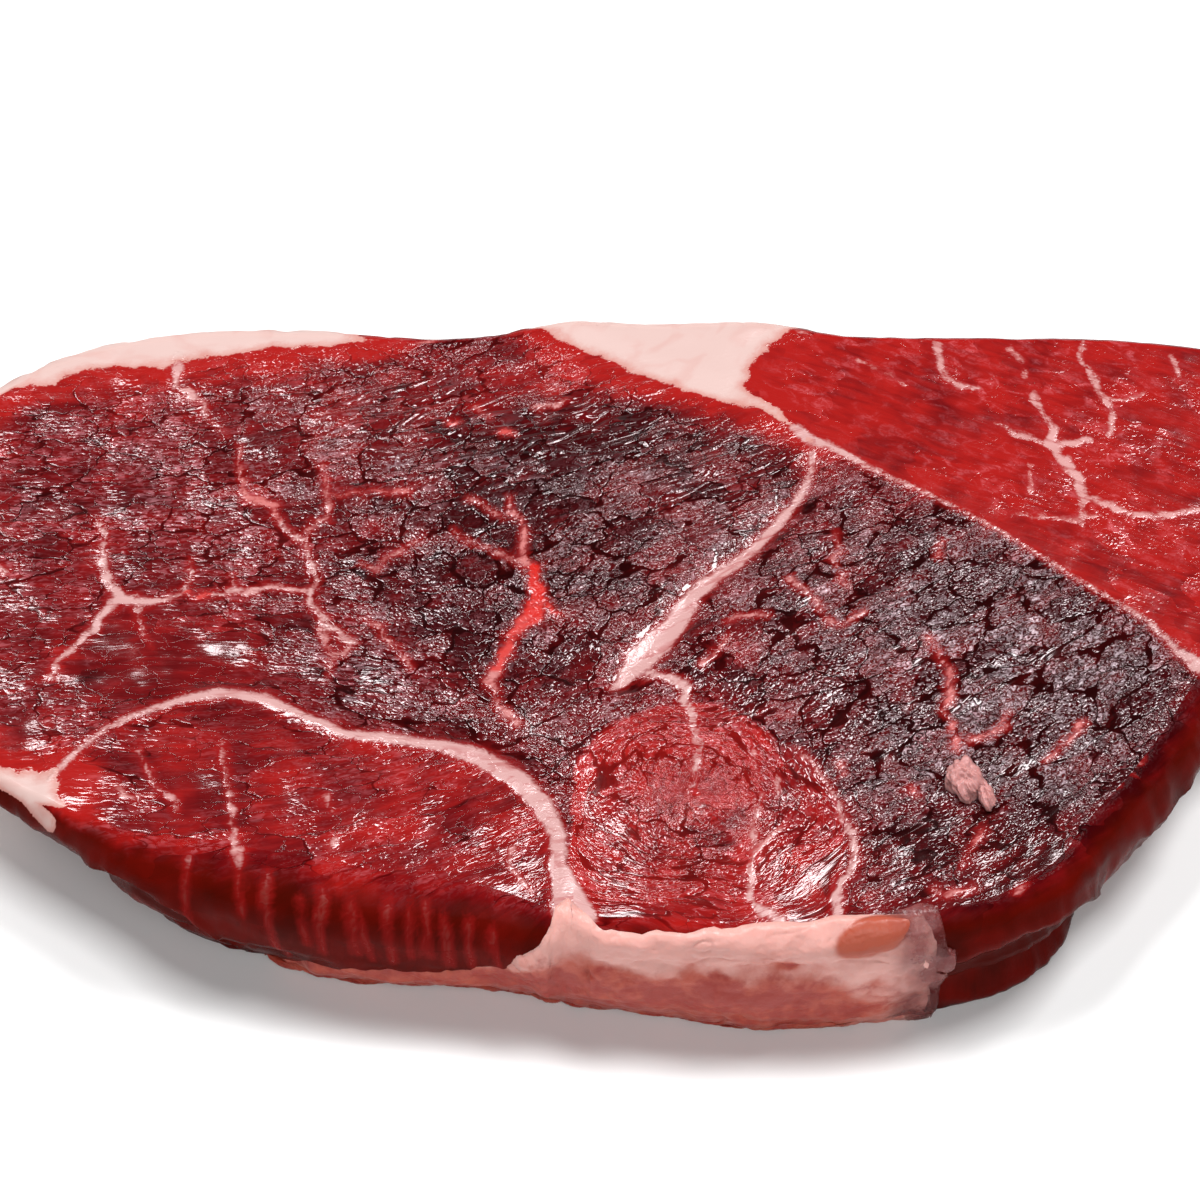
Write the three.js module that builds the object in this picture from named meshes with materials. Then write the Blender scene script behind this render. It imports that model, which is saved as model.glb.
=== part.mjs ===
// A thick raw sirloin steak, cut across the grain, lying flat on its lower cut face.
//
// Frame: millimetres, +Z up. X runs along the length, +Y points to the far side, where the back
// fat is, and the outer fat cap is on the -Y side. The origin is the middle of the base.
//
// The steak is one closed solid, made of three joined surfaces:
//   top    a patch spanned between the four sides of the cut, raised and lowered by the muscles
//   edge   rings that follow the outline, roll over the rim and run down the wall
//   base   the flat face that it lies on

import * as THREE from 'three';

// ---------------------------------------------------------------- driving dimensions

const THICKNESS = 26.5;          // base to the level of the lean face
const PLAN_CENTRE = { x: 0.66, y: -1.46 };   // middle of the outline below, moved to the origin
const TOE_RADIUS = 2;            // rounding where the wall meets the base
const FOLD_HEIGHT = 0.5;         // height of the fold in the near wall, as a share of the wall
const FOLD_SOFTNESS = 0.1;       // half height over which the fold's step turns
const FOOT_CURVE = 1.3;          // 1 is a straight wall; more keeps the wall upright near the rim

const LONG_CELLS = 80;           // patch cells along the near and far sides
const SHORT_CELLS = 36;          // patch cells along the two ends
const ROLL_STEPS = 4;            // rings over the rim
const WALL_STEPS = 5;            // rings down the wall
const SAMPLES_PER_STATION = 24;  // fine steps used to measure the outline's length

// Each station of the outline, anticlockwise from the left tip, gives:
//   x, y    place of the rim's widest point
//   roll    how far in from the rim the top starts to round over
//   drop    how far down the rim's widest point is
//   foot    how far the base is set in under the rim
//   bulge   how far the middle of the wall swells out
//   fold    how far a second layer lies back under the first, halfway down the wall
const STATIONS = [
  { x: -130.5, y: 9, roll: 6, drop: 7, foot: 6, bulge: 1, fold: 0 },      // left tip
  { x: -127, y: -7, roll: 5, drop: 6, foot: 8, bulge: 1, fold: 0 },
  { x: -118, y: -21.5, roll: 4, drop: 5, foot: 11, bulge: 1, fold: 0 },
  { x: -107.5, y: -30.3, roll: 3.5, drop: 5, foot: 12, bulge: 0.5, fold: 0 },
  { x: -97.5, y: -37.4, roll: 3, drop: 5, foot: 13, bulge: 0, fold: 0 },
  { x: -90.5, y: -42, roll: 3, drop: 5, foot: 12, bulge: 0, fold: 0.5 },
  { x: -83.5, y: -47, roll: 4, drop: 6, foot: 10.5, bulge: 0, fold: 1.5 },  // tail muscle
  { x: -75.5, y: -52.5, roll: 6, drop: 8, foot: 7.5, bulge: 0.5, fold: 2 },
  { x: -66, y: -56, roll: 8, drop: 9, foot: 5.6, bulge: 1, fold: 2 },
  { x: -55, y: -59.2, roll: 9, drop: 9, foot: 5.3, bulge: 1, fold: 1.2 },
  { x: -42, y: -61.8, roll: 9, drop: 9, foot: 4.5, bulge: 1, fold: 0 },
  { x: -28, y: -63.4, roll: 8, drop: 9, foot: 5, bulge: 1, fold: 0 },
  { x: -16, y: -64.3, roll: 7, drop: 8, foot: 5, bulge: 1, fold: 0 },
  { x: -6, y: -65.4, roll: 5, drop: 7, foot: 3.5, bulge: 1.5, fold: 0 },    // outer fat cap
  { x: 8, y: -66.3, roll: 4, drop: 6, foot: 2.5, bulge: 1.8, fold: 0 },
  { x: 22, y: -67.3, roll: 4, drop: 6, foot: 1, bulge: 1.6, fold: 0 },
  { x: 37, y: -66.4, roll: 4.5, drop: 6, foot: 0, bulge: 1.2, fold: 0 },
  { x: 51, y: -64.8, roll: 4, drop: 6, foot: 0.6, bulge: 0.8, fold: 0.8 },
  { x: 62.5, y: -62.4, roll: 4.5, drop: 6, foot: 0.6, bulge: 0.3, fold: 3 },  // folded edge
  { x: 71, y: -58.6, roll: 5, drop: 6.5, foot: 1.2, bulge: 0, fold: 3.6 },
  { x: 77.5, y: -53.4, roll: 5.5, drop: 7, foot: 2.6, bulge: 0, fold: 4 },
  { x: 83.2, y: -46.4, roll: 6, drop: 8, foot: 5.5, bulge: 0.5, fold: 3 },
  { x: 90.2, y: -38.9, roll: 6.5, drop: 9, foot: 8, bulge: 1, fold: 1 },
  { x: 97.1, y: -29.3, roll: 6.5, drop: 9, foot: 8.5, bulge: 1, fold: 0 },      // right rim
  { x: 102.2, y: -20, roll: 6, drop: 8, foot: 8, bulge: 1, fold: 0 },
  { x: 108, y: -12.6, roll: 5, drop: 7, foot: 7, bulge: 1, fold: 0 },
  { x: 117, y: -4.5, roll: 4.5, drop: 6, foot: 6, bulge: 1, fold: 0 },      // cap muscle
  { x: 126, y: 8, roll: 5, drop: 6, foot: 5, bulge: 1, fold: 0 },
  { x: 131.5, y: 25, roll: 5, drop: 6, foot: 4, bulge: 1, fold: 0 },
  { x: 129.5, y: 43, roll: 4.5, drop: 6, foot: 4, bulge: 1, fold: 0 },
  { x: 119, y: 53.5, roll: 3.5, drop: 5, foot: 4, bulge: 1, fold: 0 },
  { x: 105.5, y: 57, roll: 3, drop: 4.5, foot: 4, bulge: 1, fold: 0 },
  { x: 85, y: 59.3, roll: 3, drop: 4.5, foot: 4, bulge: 1, fold: 0 },
  { x: 63, y: 59.8, roll: 3, drop: 4.5, foot: 4, bulge: 1.2, fold: 0 },
  { x: 44, y: 61.1, roll: 3.5, drop: 5, foot: 3, bulge: 1.5, fold: 0 },     // fat wedge
  { x: 27, y: 64.5, roll: 4, drop: 5.5, foot: 2.5, bulge: 1.8, fold: 0 },
  { x: 10, y: 63.9, roll: 4, drop: 5.5, foot: 2.5, bulge: 1.8, fold: 0 },
  { x: -5.5, y: 64.5, roll: 4, drop: 5.5, foot: 2.5, bulge: 1.6, fold: 0 },
  { x: -17, y: 61.2, roll: 3.5, drop: 5, foot: 3.5, bulge: 1.2, fold: 0 },
  { x: -32, y: 59.8, roll: 3.5, drop: 5, foot: 4, bulge: 1.2, fold: 0 },    // back fat
  { x: -52, y: 61.4, roll: 4, drop: 5, foot: 3.5, bulge: 1.5, fold: 0 },
  { x: -69, y: 61.4, roll: 4, drop: 5, foot: 3.5, bulge: 1.5, fold: 0 },
  { x: -85, y: 58.8, roll: 4, drop: 5, foot: 4, bulge: 1.5, fold: 0 },
  { x: -97, y: 54.2, roll: 4, drop: 5, foot: 4, bulge: 1.5, fold: 0 },
  { x: -107, y: 47.4, roll: 4, drop: 5, foot: 4.5, bulge: 1.2, fold: 0 },
  { x: -118, y: 37, roll: 5, drop: 6, foot: 5, bulge: 1, fold: 0 },
  { x: -126.5, y: 24, roll: 6, drop: 7, foot: 5.5, bulge: 1, fold: 0 },
];

// Stations at which the near side, the right end, the far side and the left end begin.
const CORNERS = { nearLeft: 2, nearRight: 23, farRight: 30, farLeft: 45 };

// Lines between the muscles, on the lean face.
const TAIL_OUTLINE = [
  [-86.5, -38], [-86.5, -34], [-82.5, -29.5], [-76.5, -25], [-68.5, -21.5], [-63, -20],
  [-55.5, -21], [-49, -24.5], [-42, -28], [-32.5, -29.5], [-26, -30.5], [-19.5, -32.5],
  [-14.5, -36], [-10.5, -41], [-8, -46.5], [-7.5, -55], [-8.5, -63.5], [-20, -75],
  [-60, -72], [-86, -55],
];
const EYE_OUTLINE = [
  [-4, -32.5], [1, -25], [10, -21.5], [19.5, -21.5], [27.5, -26.5], [34.5, -33.5],
  [38.5, -42], [39, -50], [36.5, -59], [15, -70], [-3, -66], [-5, -49.5],
];
const CAP_SEAM = [
  [36.5, 34.5], [46.5, 28], [56, 22.5], [67.5, 15], [75.5, 8.5], [83.5, 2], [91.5, -4],
  [98.5, -12], [108, -17],
];
const CENTRAL_SEAM = [
  [36.5, 29], [33, 20.5], [26.5, 11.5], [16.5, 2.5], [14, -3], [9, -10], [3.5, -17],
];
const FAT_WEDGE = [
  [-16, 66], [-7, 57.5], [0, 54], [7, 49.5], [17.5, 44.5], [28, 41.5], [36.5, 34.5],
  [29.5, 42.5], [25.5, 47], [26.5, 51.5], [29, 55], [38, 66],
];
const FAT_CRUMB = { x: 58.5, y: -37, radius: 3.6, height: 3.4 };

// How far each form stands above the lean face, or lies below it.
const TAIL_RISE = 1.8;
const TAIL_SPREAD = 12;
const EYE_RISE = 1.3;
const EYE_SPREAD = 13;
const RIDGE_RISE = 1.5;          // fat seam round the tail muscle
const RIDGE_WIDTH = 2.6;
const RIDGE_OFFSET = 1.5;        // how far outside the muscle's edge its crest runs
const VALLEY_DEPTH = 1.7;        // crease on the big muscle's side of that seam
const VALLEY_OFFSET = 5.5;
const CAP_SEAM_DEPTH = 1.4;
const CAP_SEAM_WIDTH = 3;
const CENTRAL_SEAM_DEPTH = 0.9;
const CENTRAL_SEAM_WIDTH = 3;
const WEDGE_RISE = 1.1;
const WEDGE_SPREAD = 5;
const SWELL = { rise: 0.7, length: 27, width: 21, shiftX: 0.8, shiftY: -0.4 };   // slow waves

const LEAN_RED = 0x7a1a1f;
const LEAN_ROUGHNESS = 0.38;

// ---------------------------------------------------------------- measuring on the plan

const smooth = (t) => {
  const c = Math.min(Math.max(t, 0), 1);
  return c * c * (3 - 2 * c);
};

const bell = (t) => Math.exp(-t * t);

/** Distance from a point to one straight piece of a line. */
function distanceToPiece(x, y, [ax, ay], [bx, by]) {
  const dx = bx - ax;
  const dy = by - ay;
  const along = ((x - ax) * dx + (y - ay) * dy) / (dx * dx + dy * dy);
  const t = Math.min(Math.max(along, 0), 1);
  return Math.hypot(x - ax - t * dx, y - ay - t * dy);
}

/** Distance from a point to the nearest piece of an open line. */
function distanceToLine(x, y, line) {
  let nearest = Infinity;
  for (let i = 1; i < line.length; i += 1) {
    nearest = Math.min(nearest, distanceToPiece(x, y, line[i - 1], line[i]));
  }
  return nearest;
}

/** Depth inside a closed outline: positive inside, negative outside. */
function depthInside(x, y, outline) {
  let inside = false;
  for (let i = 0, j = outline.length - 1; i < outline.length; j = i, i += 1) {
    const [ax, ay] = outline[i];
    const [bx, by] = outline[j];
    if (ay > y !== by > y && x < ((bx - ax) * (y - ay)) / (by - ay) + ax) {
      inside = !inside;
    }
  }
  const distance = distanceToLine(x, y, [...outline, outline[0]]);
  return inside ? distance : -distance;
}

/** Height of the cut face over the base, from the muscles and their fat seams. */
function height(x, y) {
  const tail = depthInside(x, y, TAIL_OUTLINE);
  const eye = depthInside(x, y, EYE_OUTLINE);
  const wedge = depthInside(x, y, FAT_WEDGE);
  const capSeam = distanceToLine(x, y, CAP_SEAM);
  const centralSeam = distanceToLine(x, y, CENTRAL_SEAM);
  const crumb = Math.hypot(x - FAT_CRUMB.x, y - FAT_CRUMB.y) / FAT_CRUMB.radius;

  const muscles = TAIL_RISE * smooth(tail / TAIL_SPREAD) + EYE_RISE * smooth(eye / EYE_SPREAD);
  const ridge = RIDGE_RISE * bell((tail + RIDGE_OFFSET) / RIDGE_WIDTH)
    - VALLEY_DEPTH * bell((tail + VALLEY_OFFSET) / RIDGE_WIDTH);
  const seams = CAP_SEAM_DEPTH * bell(capSeam / CAP_SEAM_WIDTH)
    + CENTRAL_SEAM_DEPTH * bell(centralSeam / CENTRAL_SEAM_WIDTH);
  const fat = WEDGE_RISE * smooth(wedge / WEDGE_SPREAD)
    + FAT_CRUMB.height * Math.sqrt(Math.max(0, 1 - crumb * crumb));
  const swell = SWELL.rise * Math.sin(x / SWELL.length + SWELL.shiftX)
    * Math.cos(y / SWELL.width + SWELL.shiftY);
  return THICKNESS + muscles + ridge - seams + fat + swell;
}

// ---------------------------------------------------------------- outline

const closedCurve = (points) => new THREE.CatmullRomCurve3(points, true, 'catmullrom', 0.5);
const placeCurve = closedCurve(STATIONS.map((s) => new THREE.Vector3(s.x, s.y, 0)));
const rimCurve = closedCurve(STATIONS.map((s) => new THREE.Vector3(s.roll, s.drop, 0)));
const wallCurve = closedCurve(STATIONS.map((s) => new THREE.Vector3(s.foot, s.bulge, s.fold)));

/** One point of the outline: its place, outward direction, rim and wall sizes. */
function outlineAt(t) {
  const place = placeCurve.getPoint(t);
  const along = placeCurve.getTangent(t);
  const rim = rimCurve.getPoint(t);
  const wall = wallCurve.getPoint(t);
  return {
    x: place.x,
    y: place.y,
    outX: along.y,
    outY: -along.x,
    roll: rim.x,
    drop: rim.y,
    foot: wall.x,
    bulge: wall.y,
    fold: Math.max(wall.z, 0),
  };
}

/** Curve parameters at equal distances along the outline, from one station to another. */
function evenSteps(fromStation, toStation, count) {
  const span = (toStation - fromStation + STATIONS.length) % STATIONS.length;
  const samples = span * SAMPLES_PER_STATION;
  const parameter = (i) => ((fromStation + (span * i) / samples) / STATIONS.length) % 1;
  const lengths = [0];
  let previous = placeCurve.getPoint(parameter(0));
  for (let i = 1; i <= samples; i += 1) {
    const point = placeCurve.getPoint(parameter(i));
    lengths.push(lengths[i - 1] + point.distanceTo(previous));
    previous = point;
  }
  const steps = [];
  let i = 0;
  for (let k = 0; k < count; k += 1) {
    const wanted = (lengths[samples] * k) / count;
    while (lengths[i + 1] < wanted) i += 1;
    steps.push(parameter(i + (wanted - lengths[i]) / (lengths[i + 1] - lengths[i])));
  }
  return steps;
}

const sides = [
  evenSteps(CORNERS.nearLeft, CORNERS.nearRight, LONG_CELLS),
  evenSteps(CORNERS.nearRight, CORNERS.farRight, SHORT_CELLS),
  evenSteps(CORNERS.farRight, CORNERS.farLeft, LONG_CELLS),
  evenSteps(CORNERS.farLeft, CORNERS.nearLeft, SHORT_CELLS),
];
const rim = sides.flat().map(outlineAt);

// ---------------------------------------------------------------- surfaces

const vertices = [];
const triangles = [];

function addVertex(x, y, z) {
  vertices.push(x - PLAN_CENTRE.x, y - PLAN_CENTRE.y, z);
  return vertices.length / 3 - 1;
}

const xOf = (id) => vertices[3 * id] + PLAN_CENTRE.x;
const yOf = (id) => vertices[3 * id + 1] + PLAN_CENTRE.y;
const zOf = (id) => vertices[3 * id + 2];

/** Joins two closed rings of vertices, the first one nearer the middle of the top. */
function joinRings(inner, outer) {
  for (let i = 0; i < inner.length; i += 1) {
    const next = (i + 1) % inner.length;
    triangles.push(inner[i], outer[i], outer[next], inner[i], outer[next], inner[next]);
  }
}

/**
 * The top: every point is spanned between the four sides of the face's own edge. Each cell is cut
 * along the diagonal that lies nearer the real height of its middle, so that seams run clean.
 */
function buildTop() {
  const edge = rim.map((p) => [p.x - p.outX * p.roll, p.y - p.outY * p.roll]);
  const corner = [0, LONG_CELLS, LONG_CELLS + SHORT_CELLS, 2 * LONG_CELLS + SHORT_CELLS];
  const near = (i) => edge[corner[0] + i];
  const right = (j) => edge[corner[1] + j];
  const far = (i) => edge[corner[3] - i];
  const left = (j) => edge[(edge.length - j) % edge.length];
  const ids = [];
  for (let j = 0; j <= SHORT_CELLS; j += 1) {
    const row = [];
    const v = j / SHORT_CELLS;
    for (let i = 0; i <= LONG_CELLS; i += 1) {
      const u = i / LONG_CELLS;
      const [x, y] = [0, 1].map((axis) => (1 - v) * near(i)[axis] + v * far(i)[axis]
        + (1 - u) * left(j)[axis] + u * right(j)[axis]
        - (1 - u) * (1 - v) * near(0)[axis] - u * (1 - v) * near(LONG_CELLS)[axis]
        - (1 - u) * v * far(0)[axis] - u * v * far(LONG_CELLS)[axis]);
      row.push(addVertex(x, y, height(x, y)));
    }
    ids.push(row);
  }
  for (let j = 0; j < SHORT_CELLS; j += 1) {
    for (let i = 0; i < LONG_CELLS; i += 1) {
      const [a, b] = [ids[j][i], ids[j][i + 1]];
      const [c, d] = [ids[j + 1][i + 1], ids[j + 1][i]];
      const middle = height((xOf(a) + xOf(c)) / 2, (yOf(a) + yOf(c)) / 2);
      const along = Math.abs((zOf(a) + zOf(c)) / 2 - middle);
      const across = Math.abs((zOf(b) + zOf(d)) / 2 - middle);
      if (along <= across) triangles.push(a, b, c, a, c, d);
      else triangles.push(a, b, d, b, c, d);
    }
  }
  return [
    ...ids[0].slice(0, LONG_CELLS),
    ...ids.slice(0, SHORT_CELLS).map((row) => row[LONG_CELLS]),
    ...ids[SHORT_CELLS].slice(1).reverse(),
    ...ids.slice(1).reverse().map((row) => row[0]),
  ];
}

/** A ring over the rim. turn goes from 0, flat on the top, to 1, upright at the widest point. */
function rollRing(turn) {
  const angle = ((1 - turn) * Math.PI) / 2;
  return rim.map((p) => {
    const inset = p.roll * (1 - Math.cos(angle));
    const x = p.x - p.outX * inset;
    const y = p.y - p.outY * inset;
    return addVertex(x, y, height(x, y) - p.drop * (1 - Math.sin(angle)));
  });
}

/** A ring down the wall. share goes from 0 at the rim to 1 at the toe. */
function wallRing(share) {
  return rim.map((p) => {
    const top = height(p.x, p.y) - p.drop;
    const z = top + (TOE_RADIUS - top) * share;
    const step = smooth((share - FOLD_HEIGHT + FOLD_SOFTNESS) / (2 * FOLD_SOFTNESS));
    const back = 1 - smooth((share - FOLD_HEIGHT) / (1 - FOLD_HEIGHT));
    const lean = p.foot * share ** FOOT_CURVE;
    const inset = lean + p.fold * step * back - p.bulge * Math.sin(Math.PI * share);
    return addVertex(p.x - p.outX * inset, p.y - p.outY * inset, z);
  });
}

/** The ring where the wall's rounded toe meets the base. */
function baseRing() {
  return rim.map((p) => {
    const inset = p.foot + TOE_RADIUS;
    return addVertex(p.x - p.outX * inset, p.y - p.outY * inset, 0);
  });
}

/** The flat base, cut into triangles and turned to face down. */
function buildBase(ring) {
  const contour = ring.map((id) => new THREE.Vector2(vertices[3 * id], vertices[3 * id + 1]));
  for (const [a, b, c] of THREE.ShapeUtils.triangulateShape(contour, [])) {
    triangles.push(ring[a], ring[c], ring[b]);
  }
}

let ring = buildTop();
for (let k = 1; k <= ROLL_STEPS; k += 1) {
  const next = rollRing(k / ROLL_STEPS);
  joinRings(ring, next);
  ring = next;
}
for (let k = 1; k <= WALL_STEPS; k += 1) {
  const next = wallRing(k / WALL_STEPS);
  joinRings(ring, next);
  ring = next;
}
const toe = baseRing();
joinRings(ring, toe);
buildBase(toe);

// ---------------------------------------------------------------- part

const geometry = new THREE.BufferGeometry();
geometry.setAttribute('position', new THREE.Float32BufferAttribute(vertices, 3));
geometry.setIndex(triangles);
geometry.computeVertexNormals();

const lean = new THREE.MeshStandardMaterial({
  color: LEAN_RED,
  roughness: LEAN_ROUGHNESS,
  metalness: 0,
});

const steak = new THREE.Mesh(geometry, lean);
steak.name = 'steak';

const part = new THREE.Group();
part.add(steak);

export default part;
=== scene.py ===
"""A thick raw sirloin steak, dressed for a close look.

Shapes are worked out in millimetres on the steak's own plan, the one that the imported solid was
drawn on, and become metres in the solid's frame when a mesh is made. The plan is seen from
above: x runs along the steak, y towards its back fat, z up from the base.
"""

import logging
import math
from dataclasses import dataclass
from enum import Enum
from functools import cached_property
from typing import Sequence

import bpy
import numpy as np
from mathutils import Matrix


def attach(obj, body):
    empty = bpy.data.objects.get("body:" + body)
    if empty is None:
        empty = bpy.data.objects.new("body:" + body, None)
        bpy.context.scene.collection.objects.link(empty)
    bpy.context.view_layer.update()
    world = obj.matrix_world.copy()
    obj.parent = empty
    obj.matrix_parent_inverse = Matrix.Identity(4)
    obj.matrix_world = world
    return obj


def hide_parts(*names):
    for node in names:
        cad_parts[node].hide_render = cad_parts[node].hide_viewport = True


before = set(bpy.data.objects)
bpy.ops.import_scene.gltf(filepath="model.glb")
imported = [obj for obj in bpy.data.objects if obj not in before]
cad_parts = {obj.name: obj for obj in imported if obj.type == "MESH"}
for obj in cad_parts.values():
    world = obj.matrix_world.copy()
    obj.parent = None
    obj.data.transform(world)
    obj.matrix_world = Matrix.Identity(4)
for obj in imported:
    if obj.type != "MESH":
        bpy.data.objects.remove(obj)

logging.basicConfig(level=logging.INFO, format="%(message)s")
LOG = logging.getLogger("steak")

Array = np.ndarray
Line = Sequence[tuple[float, float]]
Socket = bpy.types.NodeSocket

BODY = "root"
NODE = "steak"
METRES = 0.001

# ------------------------------------------------------------------ driving dimensions (mm)

THICKNESS = 26.5
PLAN_CENTRE = (0.66, -1.46)
TOE_RADIUS = 2.0
FOLD_HEIGHT = 0.5
FOLD_SOFTNESS = 0.1
FOOT_CURVE = 1.3
# Lengths along the skin, about: from station to station, over the roll, and down the wall.
STATION_PITCH = 13.0
ROLL_LENGTH = 9.0
WALL_LENGTH = 14.0

# Outline stations, anticlockwise from the left tip: x, y, roll, drop, foot, bulge, fold.
STATIONS = np.array([
    (-130.5, 9, 6, 7, 6, 1, 0),
    (-127, -7, 5, 6, 8, 1, 0),
    (-118, -21.5, 4, 5, 11, 1, 0),
    (-107.5, -30.3, 3.5, 5, 12, 0.5, 0),
    (-97.5, -37.4, 3, 5, 13, 0, 0),
    (-90.5, -42, 3, 5, 12, 0, 0.5),
    (-83.5, -47, 4, 6, 10.5, 0, 1.5),
    (-75.5, -52.5, 6, 8, 7.5, 0.5, 2),
    (-66, -56, 8, 9, 5.6, 1, 2),
    (-55, -59.2, 9, 9, 5.3, 1, 1.2),
    (-42, -61.8, 9, 9, 4.5, 1, 0),
    (-28, -63.4, 8, 9, 5, 1, 0),
    (-16, -64.3, 7, 8, 5, 1, 0),
    (-6, -65.4, 5, 7, 3.5, 1.5, 0),
    (8, -66.3, 4, 6, 2.5, 1.8, 0),
    (22, -67.3, 4, 6, 1, 1.6, 0),
    (37, -66.4, 4.5, 6, 0, 1.2, 0),
    (51, -64.8, 4, 6, 0.6, 0.8, 0.8),
    (62.5, -62.4, 4.5, 6, 0.6, 0.3, 3),
    (71, -58.6, 5, 6.5, 1.2, 0, 3.6),
    (77.5, -53.4, 5.5, 7, 2.6, 0, 4),
    (83.2, -46.4, 6, 8, 5.5, 0.5, 3),
    (90.2, -38.9, 6.5, 9, 8, 1, 1),
    (97.1, -29.3, 6.5, 9, 8.5, 1, 0),
    (102.2, -20, 6, 8, 8, 1, 0),
    (108, -12.6, 5, 7, 7, 1, 0),
    (117, -4.5, 4.5, 6, 6, 1, 0),
    (126, 8, 5, 6, 5, 1, 0),
    (131.5, 25, 5, 6, 4, 1, 0),
    (129.5, 43, 4.5, 6, 4, 1, 0),
    (119, 53.5, 3.5, 5, 4, 1, 0),
    (105.5, 57, 3, 4.5, 4, 1, 0),
    (85, 59.3, 3, 4.5, 4, 1, 0),
    (63, 59.8, 3, 4.5, 4, 1.2, 0),
    (44, 61.1, 3.5, 5, 3, 1.5, 0),
    (27, 64.5, 4, 5.5, 2.5, 1.8, 0),
    (10, 63.9, 4, 5.5, 2.5, 1.8, 0),
    (-5.5, 64.5, 4, 5.5, 2.5, 1.6, 0),
    (-17, 61.2, 3.5, 5, 3.5, 1.2, 0),
    (-32, 59.8, 3.5, 5, 4, 1.2, 0),
    (-52, 61.4, 4, 5, 3.5, 1.5, 0),
    (-69, 61.4, 4, 5, 3.5, 1.5, 0),
    (-85, 58.8, 4, 5, 4, 1.5, 0),
    (-97, 54.2, 4, 5, 4, 1.5, 0),
    (-107, 47.4, 4, 5, 4.5, 1.2, 0),
    (-118, 37, 5, 6, 5, 1, 0),
    (-126.5, 24, 6, 7, 5.5, 1, 0),
], dtype=float)
# Stations at the corners of the cut face's grid.
NEAR_LEFT, NEAR_RIGHT, FAR_RIGHT, FAR_LEFT = 2, 23, 30, 45

TAIL_OUTLINE: Line = (
    (-86.5, -38), (-86.5, -34), (-82.5, -29.5), (-76.5, -25), (-68.5, -21.5), (-63, -20),
    (-55.5, -21), (-49, -24.5), (-42, -28), (-32.5, -29.5), (-26, -30.5), (-19.5, -32.5),
    (-14.5, -36), (-10.5, -41), (-8, -46.5), (-7.5, -55), (-8.5, -92), (-94, -92), (-91, -55),
)
EYE_OUTLINE: Line = (
    (-4, -32.5), (1, -25), (10, -21.5), (19.5, -21.5), (27.5, -26.5), (34.5, -33.5),
    (38.5, -42), (39, -50), (36.5, -59), (35, -88), (-4, -88), (-5, -49.5),
)
CAP_SEAM: Line = (
    (36.5, 34.5), (46.5, 28), (56, 22.5), (67.5, 15), (75.5, 8.5), (83.5, 2), (91.5, -4),
    (98.5, -12), (108, -17),
)
CAP_OUTLINE: Line = (
    (46, 70), (38, 59), (29, 55), (26.5, 51.5), (25.5, 47), (29.5, 42.5), *CAP_SEAM, (150, -20),
    (150, 70),
)
CENTRAL_SEAM: Line = (
    (36.5, 29), (35.5, 25), (33, 20.5), (26.5, 11.5), (19.5, 5), (15, 1), (14, -3),
    (9, -10), (3.5, -17),
)
FAT_WEDGE: Line = (
    (-16, 66), (-7, 57.5), (0, 54), (7, 49.5), (17.5, 44.5), (28, 41.5), (36.5, 34.5),
    (29.5, 42.5), (25.5, 47), (26.5, 51.5), (29, 55), (38, 66),
)
BACK_FAT: Line = (
    (-38, 57.5), (-49.5, 55.5), (-60, 54.5), (-69, 53), (-76, 51), (-87.5, 50.5),
    (-92.5, 49.5), (-95, 47), (-99, 47), (-104.5, 44.5), (-113, 37.5), (-120.5, 26),
    (-124, 10), (-121, -5), (-113, -17.5), (-103, -26.5), (-96.5, -33), (-90, -35),
    (-87, -34), (-86, -40), (-85.5, -43.5), (-88, -47), (-120, -45), (-150, 0), (-130, 70),
    (-38, 75),
)
# Lips of the wall's nearer layer: station, then how far over the edge (9 is none).
LIPS = np.array([
    (0, 9), (5.9, 9), (6.1, 1.25), (6.6, 0.98), (7.1, 0.87), (8.0, 1.16), (8.4, 1.5), (8.7, 2.2),
    (8.8, 9), (17.1, 9), (17.2, 1.25), (17.9, 1.16), (18.55, 1.12), (19.3, 1.15),
    (20.0, 1.2), (20.6, 1.5), (20.9, 2.2), (21, 9), (47, 9),
])

# ------------------------------------------------------------------ numbers on arrays


def smooth(t: Array) -> Array:
    """Eases from 0 to 1 as t goes from 0 to 1: three t squared less two t cubed."""
    c = np.clip(t, 0.0, 1.0)
    return c * c * (3.0 - 2.0 * c)


def bell(t: Array) -> Array:
    """A bump one high round nought: e to the power minus t squared."""
    return np.exp(-np.square(t))


def noise(x: Array, y: Array, seed: int) -> Array:
    """Seeded gradient noise.

    Every whole-number point has a random slope. The four slopes round a place are blended by
    a quintic, so that the noise is smooth, from about -1 to 1, with waves about 2 long.

    Args:
        x, y: places, in waves.
        seed: picks the slopes.

    Returns:
        The noise at each place.
    """
    draw = np.random.default_rng(seed)
    order = draw.permutation(1024)
    angle = draw.uniform(0.0, 2.0 * math.pi, 1024)
    x0, y0 = np.floor(x).astype(int), np.floor(y).astype(int)
    fx, fy = x - x0, y - y0
    ux = fx ** 3 * (fx * (fx * 6 - 15) + 10)
    uy = fy ** 3 * (fy * (fy * 6 - 15) + 10)

    def slope(dx: int, dy: int) -> Array:
        """The slope of one corner, carried to the place."""
        a = angle[(order[(x0 + dx) & 1023] + y0 + dy) & 1023]
        return np.cos(a) * (fx - dx) + np.sin(a) * (fy - dy)

    low = slope(0, 0) * (1 - ux) + slope(1, 0) * ux
    high = slope(0, 1) * (1 - ux) + slope(1, 1) * ux
    return 1.5 * (low * (1 - uy) + high * uy)


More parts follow.
